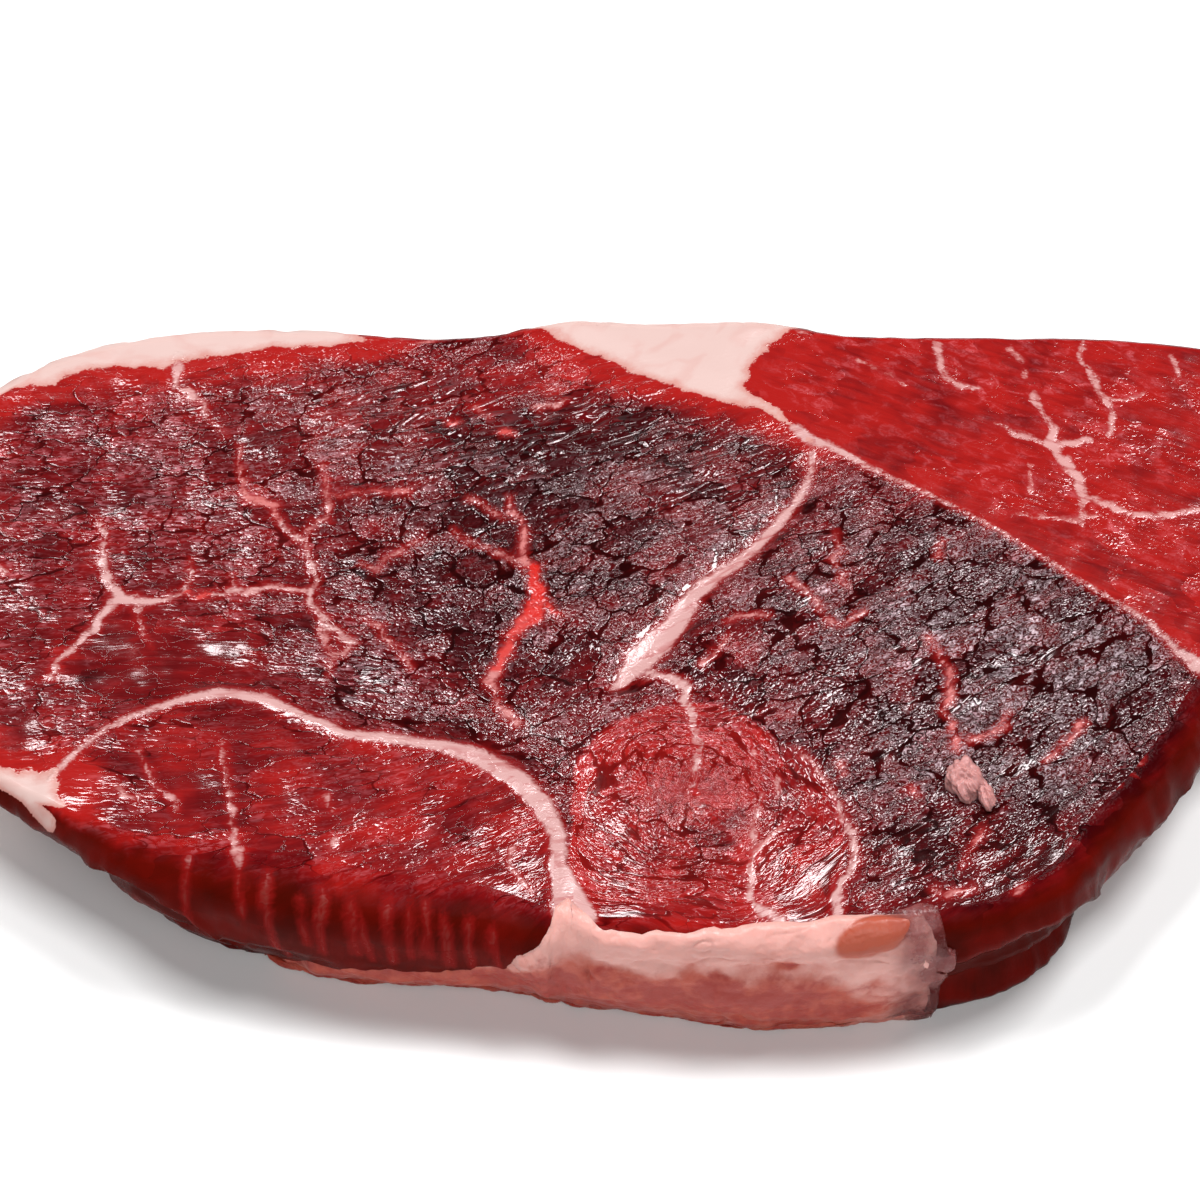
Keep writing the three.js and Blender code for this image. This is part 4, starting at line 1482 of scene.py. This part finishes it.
@dataclass
class Skin:
    """The vertices of the steak's skin, and what its finish reads at each.

    Attributes:
        thing: the mesh object.
        shape: the steak's form.
        places: x, y and z of each vertex on the plan.
        over, t: how far over the edge, and at which station, each lies.
    """

    thing: bpy.types.Object
    shape: SteakShape
    places: Array
    over: Array
    t: Array

    def __post_init__(self) -> None:
        """Works out what several fields read."""
        self.x, self.y, self.z = self.places.T
        self.region = self.shape.region(self.x, self.y)
        self.drop = down_skin(self.over)
        self.turned = (self.over > 0) & (self.over < BASE_START)
        ragged = 0.12 * layered(self.t * 2.3, 0 * self.t, 141, 3)
        self.wall = smooth((self.over - 0.16 + ragged) / 0.36)

    @cached_property
    def bend(self) -> tuple[Array, Array]:
        """How far the marbling and furrows stray from their drawn lines, along x and y."""
        return tuple(0.55 * layered(self.x / 2.6, self.y / 2.6, seed, 2) for seed in (31, 35))

    def _store(self, name: str, values: Array, low: float = 0.0, high: float = 1.0) -> None:
        """Stores one number at each vertex, kept from low to high."""
        add_attribute(self.thing, name, np.clip(values, low, high))

    def grain(self, faces: list[Array]) -> None:
        """Stores the grain coordinates of the face corners.

        All corners of a face are read on the chart of its first corner, so that no face lies
        on two. On the wall the grain stands upright.

        Args:
            faces: arrays of vertex numbers, one row to a face.
        """
        corners, counts = corners_of(faces)
        lead = np.repeat(corners[np.cumsum(counts) - counts], counts)
        on_wall = (self.over[lead] > WALL_GRAIN[0]) & (self.over[lead] < WALL_GRAIN[1])
        chart = np.where(on_wall, Region.WALL.value, self.region[lead])
        found = grain_at(chart, self.x[corners], self.y[corners])
        seam = np.abs(self.t[corners] - self.t[lead]) > OUTLINE_JUMP
        around = np.where(seam, self.t[lead], self.t[corners]) * STATION_PITCH
        first = grain_at(chart, self.x[lead], self.y[lead])[:, 0]
        torn = (chart == Region.EYE.value) & (np.abs(found[:, 0] - first) > GRAIN_JUMP)
        along = np.where(on_wall, self.z[corners], np.where(torn, first, found[:, 0]))
        add_uv(self.thing, "grain", np.stack([along, np.where(on_wall, around, found[:, 1])], -1))

    def marbling(self) -> None:
        """Stores the distance outside the marbling, and how blood-red the nearest strand is.

        The drawn strands and seams come first, then the upright strands of the tail's wall,
        and round the back the lines where a noise passes nought.
        """
        x, y, t, over = self.x, self.y, self.t, self.over
        bend_x, bend_y = self.bend
        swell = 0.35 * noise(x / 2.2, y / 2.2, 37) + 0.3 * noise(x / 6, y / 6, 38)
        vx, vy = x + bend_x, y + bend_y
        marks = np.full(len(x), 99.0)
        heat = np.zeros(len(x))
        for vein in VEINS:
            breadth = 1.5 if inside(*np.array(vein.points[0]), CAP_OUTLINE) > 0 else 0.68
            widths = np.linspace(vein.width, vein.end, len(vein.points)) * breadth
            d = off_line(vx, vy, vein.points, widths)
            heat = np.where(d < marks, vein.heat, heat)
            marks = np.minimum(marks, d)
        marks = marks + swell
        for seam, share, breadth in ((TAIL_SEAM, 0.35, 0.8), (CENTRAL_BAND, 0.3, 0.9),
                                     (CAP_BAND, 0.3, 1.0)):
            line = [point[:2] for point in seam]
            widths = [breadth * point[2] for point in seam]
            d = off_line(x + share * bend_x, y + share * bend_y, line, widths) + share * swell
            heat = np.where(d < marks, 0.0, heat)
            marks = np.minimum(marks, d)
        marks = marks + 6 * self.wall
        for (t0, w0), (t1, w1), width in WALL_VEINS:
            line = ((STATION_PITCH * t0, down_skin(w0)), (STATION_PITCH * t1, down_skin(w1)))
            d = off_line(STATION_PITCH * t + 1.3 * bend_x, self.drop, line,
                         (0.6 * width, 0.2 * width)) + 0.15
            marks = np.where(self.turned, np.minimum(marks, d), marks)
        wander = noise(t * 2.1 + 0.5 * noise(t * 0.9, over * 1.5, 151), over * 0.6, 152)
        bare = 2.2 * smooth(noise(t * 0.7, over * 0.8, 153) / 0.3 + 0.5) - 0.3
        far = self.turned & (t > 20.5) & (t < 46)
        marks = np.where(far, np.minimum(marks, 6 * np.abs(wander) + bare), marks)
        self._store("vein", marks, -4, 4)
        self._store("blood", heat)

    def fat(self) -> Array:
        """Stores the distance outside the fat: the far strip and wedge, and the left corner.

        Returns:
            The distance of each vertex, below nought inside.
        """
        t, over = self.t, self.over
        top = self.shape.fat_edge(self.x, self.y)
        wall = STATION_PITCH * np.minimum(off_arc(t, 40.2, 50.6), off_arc(t, 34.3, 38.2))
        wall = wall + 3.5 * layered(t * 0.9, self.drop / 8, 161, 4, 0.6)
        share = smooth(over / 1.3)
        corner = [(STATION_PITCH * a, float(down_skin(b))) for a, b in LEFT_FAT]
        left = 0.4 * self.bend[0] - inside(STATION_PITCH * t, self.drop, corner)
        left = np.where(over < 0.5, 9.0, left)
        found = np.minimum(top * (1 - share) + wall * share, left)
        found = np.where(over < BASE_START, found, 9.0)
        self._store("fat", found, -6, 6)
        return found

    def lean(self, fat: Array) -> None:
        """Stores darkness, shine, splits, painted highlights, ridges and fibres of the lean.

        The darkness is made lighter, as painted glow, near the fat and on the rim, and darker, as
        painted shade, on the wall under the lip. Each is its trait, times calm where the rim, the fat
        or a seam smooths the lean, times a cloudy noise.

        Args:
            fat: distance outside the fat.
        """
        x, y, t, over, region, wall = self.x, self.y, self.t, self.over, self.region, self.wall
        flat = 1 - wall
        mottle = layered(x / 9, y / 9, 101, 4, 0.6)
        near_fat = bell(np.maximum(fat, 0) / 5.5)
        rim = smooth(over / 0.7) * flat
        glow = smooth(-off_arc(t, 21.0, 29.5) / 1.5) * smooth((over - 0.2) / 0.6) * flat
        tone = DARKNESS.at(region, x, y) + 0.22 * mottle
        # Painted glow: the flesh is lighter near the fat, on the roll, and more along the right end's
        # rim, as where light shines through it.
        tone = tone - 0.85 * near_fat * flat - 0.1 * rim - 0.2 * glow
        tone = tone * flat + wall * (0.55 + 0.22 * mottle)
        tone = tone + wall * (0.5 * layered(t * 1.3, over * 2.2, 145, 3) + 0.1)
        below = self.shape.below_lip(t, over)
        # Painted shade: darker on the wall just under the lip of the nearer layer.
        tone = tone + np.where(self.turned, bell((below - 0.16) / 0.14), 0.0)
        calm = (1 - 0.85 * near_fat) * (1 - 0.8 * rim)
        for start, end, fade, reach, shade in CALM_RIMS:
            edge = self.shape.outline.at(np.linspace(start, end, 60))
            inland = off_line(x, y, tuple(zip(edge["x"], edge["y"])))
            calm = calm * (1 - fade * bell(np.maximum(inland - reach / 2, 0) / reach))
            tone = tone + shade * flat * bell(inland / 5)
        self._store("tone", tone, high=1.3)
        bend_x, bend_y = self.bend
        furrow = sum(bell(off_line(x + bend_x, y + bend_y, line) / 1.2) for line in TAIL_FURROWS)
        calm = calm * (1 - 0.6 * np.clip(furrow, 0, 1) * (region == Region.TAIL.value))
        seam = np.where(region == Region.CAP.value, bell(off_line(x, y, CAP_SEAM) / 7), 0)
        calm = calm * (1 - 0.8 * seam)
        shine = WET_SHINE.at(region, x, y) * calm * (1 + 0.6 * layered(x / 7, y / 7, 111, 3))
        self._store("shine", shine * (1 - 0.6 * wall))
        splits = SPLITS.at(region, x, y) * calm * flat
        self._store("cracked", splits * smooth(0.75 + 0.8 * layered(x / 9, y / 9, 121, 2)))
        # Painted highlights: where sheen and glints of the wet fibre ends are painted into the colour.
        painted_sparkle = PAINTED_SPARKLE.at(region, x, y) * calm
        self._store("painted_sheen", painted_sparkle * (1 + 0.7 * layered(x / 6, y / 6, 131, 3)))
        self._store("ridge", CRESTS.at(region, x, y))
        self._store("fibrous", FIBRES.at(region, x, y))
        self._store("wall", wall)


@dataclass
class MeatBody:
    """The whole steak in one closed skin.

    Attributes:
        shape: the steak's form.
        long_cells, short_cells: cells of the cut face along and across.
        roll_rings, toe_rings: how far over the edge each ring of the rim and toe lies.
        wall_rings: rings down the wall.
        base_inset: how far inside the toe the flat base starts.
        coarse: fine cells to one cell of the base.
    """

    shape: SteakShape
    long_cells: int = 372
    short_cells: int = 176
    roll_rings: tuple = (0.03, 0.08, 0.17, 0.33, 0.5, 0.67, 0.83, 1.0)
    toe_rings: tuple = (2.35, 2.7, 3.0)
    wall_rings: int = 14
    base_inset: float = 1.5
    coarse: int = 4

    def _steps(self) -> Array:
        """Places of the edge's vertices on the outline.

        Returns:
            The places in stations, anticlockwise from the near left corner.
        """
        sides = ((NEAR_LEFT, NEAR_RIGHT, self.long_cells), (NEAR_RIGHT, FAR_RIGHT, self.short_cells),
                 (FAR_RIGHT, FAR_LEFT, self.long_cells), (FAR_LEFT, NEAR_LEFT, self.short_cells))
        return np.concatenate([self.shape.outline.even(*side) for side in sides])

    @staticmethod
    def _span(edge: Array, long: int, short: int) -> Array:
        """Fills a closed edge with a grid.

        Each place is the blend of its near and far sides, plus the blend of its left and
        right sides, less the blend of the four corners.

        Args:
            edge: x and y of the edge's vertices, anticlockwise from the near left corner.
            long, short: cells along and across.

        Returns:
            x and y of the grid, short + 1 rows of long + 1.
        """
        near = edge[:long + 1]
        right = edge[long:long + short + 1]
        far = edge[long + short:2 * long + short + 1][::-1]
        left = np.concatenate([edge[2 * long + short:], edge[:1]])[::-1]
        u = (np.arange(long + 1) / long)[None, :, None]
        v = (np.arange(short + 1) / short)[:, None, None]
        sides = (1 - v) * near[None] + v * far[None]
        ends = (1 - u) * left[:, None] + u * right[:, None]
        corners = ((1 - v) * ((1 - u) * near[0] + u * near[-1])
                   + v * ((1 - u) * far[0] + u * far[-1]))
        return sides + ends - corners

    @staticmethod
    def _inset(p: dict[str, Array], depth: Array) -> Array:
        """x and y of the outline's places, moved inwards by a depth."""
        return np.stack([p["x"] - p["out_x"] * depth, p["y"] - p["out_y"] * depth], -1)

    def build(self) -> bpy.types.Object:
        """Makes the mesh: the cut face, the rings round its edge, and the base.

        Returns:
            The object, with what its finish reads.
        """
        long, short = self.long_cells, self.short_cells
        t = self._steps()
        count = len(t)
        p = self.shape.outline.at(t)
        plan = self._span(self._inset(p, p["roll"]), long, short).reshape(-1, 2)
        top = np.column_stack([plan, self.shape.top(plan[:, 0], plan[:, 1])])
        falls = 1 + np.arange(1, self.wall_rings + 1) / self.wall_rings
        over = np.concatenate([self.roll_rings, falls, self.toe_rings])
        rings = self.shape.skin(t[None, :], over[:, None])

        small_long, small_short = long // self.coarse, short // self.coarse
        q = self.shape.outline.at(t[::self.coarse])
        foot = self._inset(q, q["foot"] + TOE_RADIUS + self.base_inset)
        under = self._span(foot, small_long, small_short).reshape(-1, 2)
        base = np.column_stack([under, np.zeros(len(under))])

        ring_ids = [border_ids(short + 1, long + 1)]
        ring_ids += [len(top) + k * count + np.arange(count) for k in range(len(over))]
        faces = [quads(short + 1, long + 1)]
        for inner, outer in zip(ring_ids[:-1], ring_ids[1:]):
            faces.append(np.stack([inner, outer, np.roll(outer, -1), np.roll(inner, -1)], 1))
        base_first = len(top) + len(over) * count
        faces.append(quads(small_short + 1, small_long + 1)[:, ::-1] + base_first)
        edge = border_ids(small_short + 1, small_long + 1) + base_first
        start = np.arange(len(edge)) * self.coarse
        fan = [ring_ids[-1][(start + k) % count] for k in range(self.coarse + 1)]
        faces.append(np.stack([edge, *fan, np.roll(edge, -1)], 1))
        places = np.concatenate([top, rings.reshape(-1, 3), base])
        thing = make_mesh("steak.flesh", places, faces)

        side = [np.zeros(len(faces[0]), int)]
        side += [np.full(count, int(w > 0.05)) for w in over]
        side += [np.ones(len(faces[-2]) + len(faces[-1]), int)]
        thing.data.polygons.foreach_set("material_index", np.concatenate(side))
        over_all = np.concatenate([np.zeros(len(top)), np.repeat(over, count),
                                   np.full(len(base), over[-1])])
        t_all = np.concatenate([np.zeros(len(top)), np.tile(t, len(over)), np.zeros(len(base))])
        skin = Skin(thing, self.shape, places, over_all, t_all)
        skin.grain(faces)
        skin.marbling()
        skin.lean(skin.fat())
        return thing


@dataclass
class SkinPatch:
    """A layer that lies over the steak's edge, with a rounded border all round.

    Attributes:
        name: the piece's name.
        shape: the steak's form.
        border: station, then how far over the edge its upper and lower borders lie.
        thickness: how far it stands off the flesh.
        lump: height of its lumps.
        soft: width of its rounded border, in millimetres.
        ragged: how far its border strays.
        columns, rows: grid size.
        seed: picks its lumps.
        folds: height of its upright folds.
        fade: length over which it thins out to nothing at its start, in millimetres.
        stains: station, w, half length, half height and strength of its blood stains.
        sinew: station, w, half length, half height and turn of the tendon set in it.
    """

    name: str
    shape: SteakShape
    border: tuple[tuple[float, float, float], ...]
    thickness: float = 1.0
    lump: float = 0.7
    soft: float = 2.4
    ragged: float = 1.0
    columns: int = 480
    rows: int = 100
    seed: int = 71
    folds: float = 0.0
    fade: float = 0.0
    stains: tuple[tuple[float, float, float, float, float], ...] = ()
    sinew: tuple[float, float, float, float, float] | None = None

    def _grid(self) -> tuple[Array, Array, Array]:
        """Lays the grid, in columns at equal steps along the upper border.

        Returns:
            Stations and w of the grid, and millimetres in from its border.
        """
        station, above, beneath = np.array(self.border).T
        fine = np.linspace(station[0], station[-1], 4000)
        falls = down_skin(np.interp(fine, station, above))
        steps = np.hypot(np.diff(fine) * STATION_PITCH, np.diff(falls))
        run = np.concatenate([[0], np.cumsum(steps)])
        u = np.interp(np.linspace(0, run[-1], self.columns), run, fine)
        upper = np.interp(u, station, above)
        lower = np.interp(u, station, beneath)
        upper = upper + self.ragged * 0.10 * layered(u * 3.1, 0 * u, self.seed, 4, 0.6)
        lower = lower + self.ragged * 0.05 * layered(u * 3.1, 0 * u + 5, self.seed, 3)
        v = np.linspace(0, 1, self.rows)[:, None]
        t = np.broadcast_to(u[None, :], (self.rows, self.columns))
        w = upper[None, :] + (lower - upper)[None, :] * v
        along = u[::4] * STATION_PITCH
        back = u[::-1][::4] * STATION_PITCH
        edge = [*zip(along, down_skin(upper[::4])), *zip(back, down_skin(lower[::-1][::4]))]
        deep = off_line(t * STATION_PITCH, down_skin(w), (*edge, edge[0]))
        return t, w, deep

    def build(self) -> bpy.types.Object:
        """Makes the closed layer: the skin's places pushed out by an eased thickness.

        Returns:
            The object.
        """
        t, w, deep = self._grid()
        skin = self.shape.skin(t, w)
        out = self.shape.skin_normal(t, w)
        x, y = t * STATION_PITCH, down_skin(w)
        rise = np.sqrt(smooth(deep / self.soft))
        lumps = 0.55 * layered(x / 8, y / 6, self.seed + 3, 4) + 0.35
        crease = bell(noise(x / 9 + 0.6 * noise(x / 5, y / 5, self.seed + 8), y / 4,
                            self.seed + 7) / 0.09)
        crease = crease * smooth(layered(x / 11, y / 8, self.seed + 9, 2) + 0.4)
        waves = self.folds * noise(x / 1.5 + 0.6 * noise(x / 3, y / 7, 77), y / 18, self.seed + 6)
        lift = self.thickness + self.lump * (lumps - 0.25 * crease) + waves
        flush = smooth((y - 5 + 3 * layered(x / 16, y / 8, self.seed + 5, 3)) / 10.0)
        flush = flush * (1 - 0.45 * smooth((t - 15.6) / 0.8))
        # Redder in the creases and in the low places between the lumps.
        flush = flush + 0.03 + 0.15 * crease + 0.35 * np.clip(0.35 - lumps, 0, 1)
        for at, over, long, tall, amount in self.stains:
            spot = np.hypot((x - STATION_PITCH * at) / long, (y - down_skin(over)) / tall)
            flush = flush + amount * bell(spot + 0.35 * layered(x / 3, y / 2, self.seed + 4, 2))
        sinew = np.zeros(t.shape)
        if self.sinew:
            at, over, long, tall, turn = self.sinew
            cos, sin = math.cos(math.radians(turn)), math.sin(math.radians(turn))
            ax, ay = x - STATION_PITCH * at, y - down_skin(over)
            reach = np.hypot((ax * cos + ay * sin) / long, (ay * cos - ax * sin) / tall)
            sinew = smooth((1.06 - reach) / 0.22)
            dome = np.sqrt(np.clip(1 - reach ** 2, 0, 1))
            lift = lift * (1 - 0.8 * sinew) + sinew * (0.8 * self.thickness + 1.1 * dome)
        veil = np.ones(t.shape)
        if self.fade:
            veil = smooth((t - t.min()) * STATION_PITCH / self.fade)
        lift = rise * np.maximum(lift, 0.2) - 0.35
        outer = skin + out * lift[..., None]
        outer[..., 2] = np.maximum(outer[..., 2], 0.0)
        inner = skin - out * 1.0
        inner[..., 2] = np.maximum(inner[..., 2], 0.2)
        thing, corners = closed_shell(self.name, outer[:, ::-1], inner[:, ::-1])
        for name, values in (("flush", np.clip(flush, 0, 1.4)), ("sinew", sinew), ("veil", veil)):
            add_attribute(thing, name, np.tile(values[:, ::-1].ravel(), 2))
        run = np.stack([y[:, ::-1], x[:, ::-1]], -1).reshape(-1, 2)
        add_uv(thing, "grain", np.concatenate([run, run])[corners])
        return thing


@dataclass
class Lump:
    """A rounded lump of fat, as a ball pulled to size and roughened.

    Attributes:
        name: the piece's name.
        centre: x, y and z of its middle on the plan.
        size: half sizes before turning.
        turn: degrees about z.
        seed: picks its roughness.
        rows: rings from pole to pole.
        rough: strength of its roughness.
    """

    name: str
    centre: tuple[float, float, float]
    size: tuple[float, float, float]
    turn: float
    seed: int
    rows: int = 60
    rough: float = 0.3

    def build(self) -> bpy.types.Object:
        """Makes the lump: rings from pole to pole, pushed out by layered noise.

        Returns:
            The object.
        """
        columns = 2 * self.rows
        lat = np.linspace(0.5 / self.rows, 1 - 0.5 / self.rows, self.rows)[:, None] * math.pi
        lon = np.arange(columns)[None, :] / columns * 2 * math.pi
        bx, by, bz = np.broadcast_arrays(np.sin(lat) * np.cos(lon), np.sin(lat) * np.sin(lon),
                                         np.cos(lat))
        push = 1 + self.rough * layered(bx * 1.7 + bz, by * 1.7 - bz, self.seed, 4)
        px, py, pz = (push * b * half for b, half in zip((bx, by, bz), self.size))
        cos, sin = math.cos(math.radians(self.turn)), math.sin(math.radians(self.turn))
        places = np.stack([px * cos - py * sin, px * sin + py * cos, pz], -1) + self.centre
        count = self.rows * columns
        i, j = np.meshgrid(np.arange(columns), np.arange(self.rows - 1))
        a = (j * columns + i).ravel()
        b = (j * columns + (i + 1) % columns).ravel()
        side = np.stack([a, a + columns, b + columns, b], axis=1)
        ring = np.arange(columns)
        last = ring + count - columns
        head = np.stack([np.full(columns, count), ring, np.roll(ring, -1)], 1)
        foot = np.stack([np.full(columns, count + 1), np.roll(last, -1), last], 1)
        poles = places[[0, -1]].mean(axis=1)
        thing = make_mesh(self.name, np.concatenate([places.reshape(-1, 3), poles]),
                          [side, head, foot])
        add_attribute(thing, "flush", np.full(count + 2, 0.25))
        thing.data.uv_layers.new(name="grain")
        return thing


@dataclass
class Studio:
    """Pale floor, soft lights and the camera.

    Attributes:
        elevation: how far the camera looks down, in degrees.
        distance: camera to the middle of the cut face, in millimetres.
        focal: focal length over the picture's width.
    """

    elevation: float = 53.0
    distance: float = 600.0
    focal: float = 3.0

    def build(self) -> None:
        """Makes the floor, the lights and the camera."""
        self._floor()
        self._lights()
        self._camera()

    def _floor(self) -> None:
        """A wide plain floor just under the steak."""
        side, under = 6.0, -0.0001
        mesh = bpy.data.meshes.new("floor")
        corners = [(-side, -side, under), (side, -side, under), (side, side, under),
                   (-side, side, under)]
        mesh.from_pydata(corners, [], [(0, 1, 2, 3)])
        floor = bpy.data.objects.new("floor", mesh)
        bpy.context.scene.collection.objects.link(floor)
        material, g, shader = new_material("floor")
        g.feed(shader, {"Base Color": (0.86, 0.86, 0.86, 1), "Roughness": 0.9,
                        "Specular IOR Level": 0.1})
        mesh.materials.append(material)

    @staticmethod
    def _lamp(name: str, place: Array, aim: Array, size: float, power: float) -> None:
        """A square area light that faces its aim.

        Args:
            name: the light's name.
            place, aim: where it stands, and what it faces, in metres.
            size: length of its side.
            power: watts.
        """
        data = bpy.data.lights.new(name, "AREA")
        data.shape = "SQUARE"
        data.size = size
        data.energy = power
        lamp = bpy.data.objects.new(name, data)
        bpy.context.scene.collection.objects.link(lamp)
        x, y, z = np.array(aim) - np.array(place)
        pitch = math.atan2(-z, math.hypot(x, y))
        lamp.location = place
        lamp.rotation_euler = (math.pi / 2 - pitch, 0, math.atan2(y, x) - math.pi / 2)

    def _lights(self) -> None:
        """Two keys high over the steak, that its wet film mirrors, a fill and a low back light."""
        for name, side in (("left key", -1), ("right key", 1)):
            self._lamp(name, (side * 0.82, 0.65, 2.16), (0, 0, 0.02), 0.74, 43)
        self._lamp("fill", (0.1, -1.22, 1.32), (0, 0, 0), 1.2, 15)
        self._lamp("back", (-0.2, 1.75, 0.40), (0, 0, 0), 1.2, 1.2)
        world = bpy.data.worlds.new("studio")
        bpy.context.scene.world = world
        world.use_nodes = True
        sky = world.node_tree.nodes["Background"].inputs
        sky["Color"].default_value = (1, 1, 1, 1)
        sky["Strength"].default_value = 0.03
        bpy.context.scene.view_settings.view_transform = "Standard"

    def _camera(self) -> None:
        """A long lens that looks along +y and down on the cut face."""
        down = math.radians(self.elevation)
        target = np.array([-PLAN_CENTRE[0], -PLAN_CENTRE[1], THICKNESS])
        away = np.array([0, -math.cos(down), math.sin(down)]) * self.distance
        data = bpy.data.cameras.new("camera")
        data.sensor_width = 36.0
        data.lens = 36.0 * self.focal
        data.clip_start = 0.01
        camera = bpy.data.objects.new("camera", data)
        camera.location = (target + away) * METRES
        camera.rotation_euler = (math.pi / 2 - down, 0, 0)
        bpy.context.scene.collection.objects.link(camera)
        bpy.context.scene.camera = camera


def dress(thing: bpy.types.Object, finishes: Sequence[bpy.types.Material]) -> None:
    """Gives a piece its finishes and ties it to the steak's solid.

    Args:
        thing: the piece.
        finishes: its materials, in the order of its faces' material numbers.
    """
    for material in finishes:
        thing.data.materials.append(material)
    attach(thing, BODY)
    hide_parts(NODE)
    LOG.info("%s: %d faces", thing.name, len(thing.data.polygons))


def main() -> None:
    """Builds the studio and the steak."""
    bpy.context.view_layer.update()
    Studio().build()
    groups = SharedGroups()
    shape = SteakShape()
    lean, side = LeanFinish().make(groups), LEAN_SIDE.make(groups)
    cap_fat, crumb_fat, film = (f.make(groups) for f in (CAP_FAT, CRUMB_FAT, FILM))

    dress(MeatBody(shape).build(), (lean, side))
    cap = SkinPatch("steak.fat_cap", shape, border=(
        (8.9, 2.1, 2.4), (9.6, 1.65, 2.6), (10.7, 1.48, 2.7), (11.4, 1.4, 2.7), (12.05, 1.2, 2.7),
        (12.4, 0.85, 2.7), (12.65, 0.7, 2.7), (12.78, 0.3, 2.7), (12.88, -0.8, 2.7),
        (13.03, -2.8, 2.7), (13.2, -1.2, 2.7), (13.35, 0.0, 2.7), (13.5, 0.3, 2.7),
        (13.97, 0.34, 2.7), (14.4, 0.2, 2.7), (14.82, 0.1, 2.7), (15.05, -0.1, 2.7),
        (15.2, -0.5, 2.7), (15.4, -0.5, 2.7), (15.7, -0.2, 2.7), (15.95, -0.9, 2.7),
        (16.5, -0.8, 2.7), (16.85, -0.3, 2.7), (17.05, 0.1, 2.7), (17.2, 0.9, 2.7)),
        thickness=0.8, lump=1.0,
        stains=((14.74, 1.33, 3.2, 2.2, 0.8), (15.44, 1.4, 5, 1.2, 0.7), (16.2, 1.7, 4, 1.5, 0.8),
                (13.6, 1.7, 5, 2, 0.5), (14.1, 1.35, 4, 1.6, 0.5), (12.6, 1.5, 6, 6, 0.6),
                (15.5, 0.95, 1.2, 0.8, 0.8)),
        sinew=(16.42, 0.42, 6.4, 3.5, -22))
    dress(cap.build(), (cap_fat,))
    membrane = SkinPatch("steak.membrane", shape, border=(
        (16.5, -0.3, 1.9), (16.85, -0.8, 2.2), (16.98, -1.3, 2.5), (17.1, -1.0, 2.6),
        (17.2, -0.3, 2.4), (17.26, 0.55, 1.95), (17.31, 0.85, 1.4), (17.42, 1.05, 1.16)),
        thickness=1.45, lump=0.35, soft=0.5, ragged=1.6, columns=200, rows=200, seed=171,
        folds=0.08, fade=5.5)
    dress(membrane.build(), (film,))
    crumb = Lump("steak.fat_crumb", (58.5, -37.0, 27.6), (3.0, 3.6, 2.6), turn=10, seed=93)
    dress(crumb.build(), (crumb_fat,))
    beside = Lump("steak.fat_crumb_side", (61.6, -39.5, 27.2), (1.3, 2.8, 1.5), turn=14, seed=95,
                  rows=36)
    dress(beside.build(), (crumb_fat,))

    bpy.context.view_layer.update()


if __name__ == "__main__":
    main()
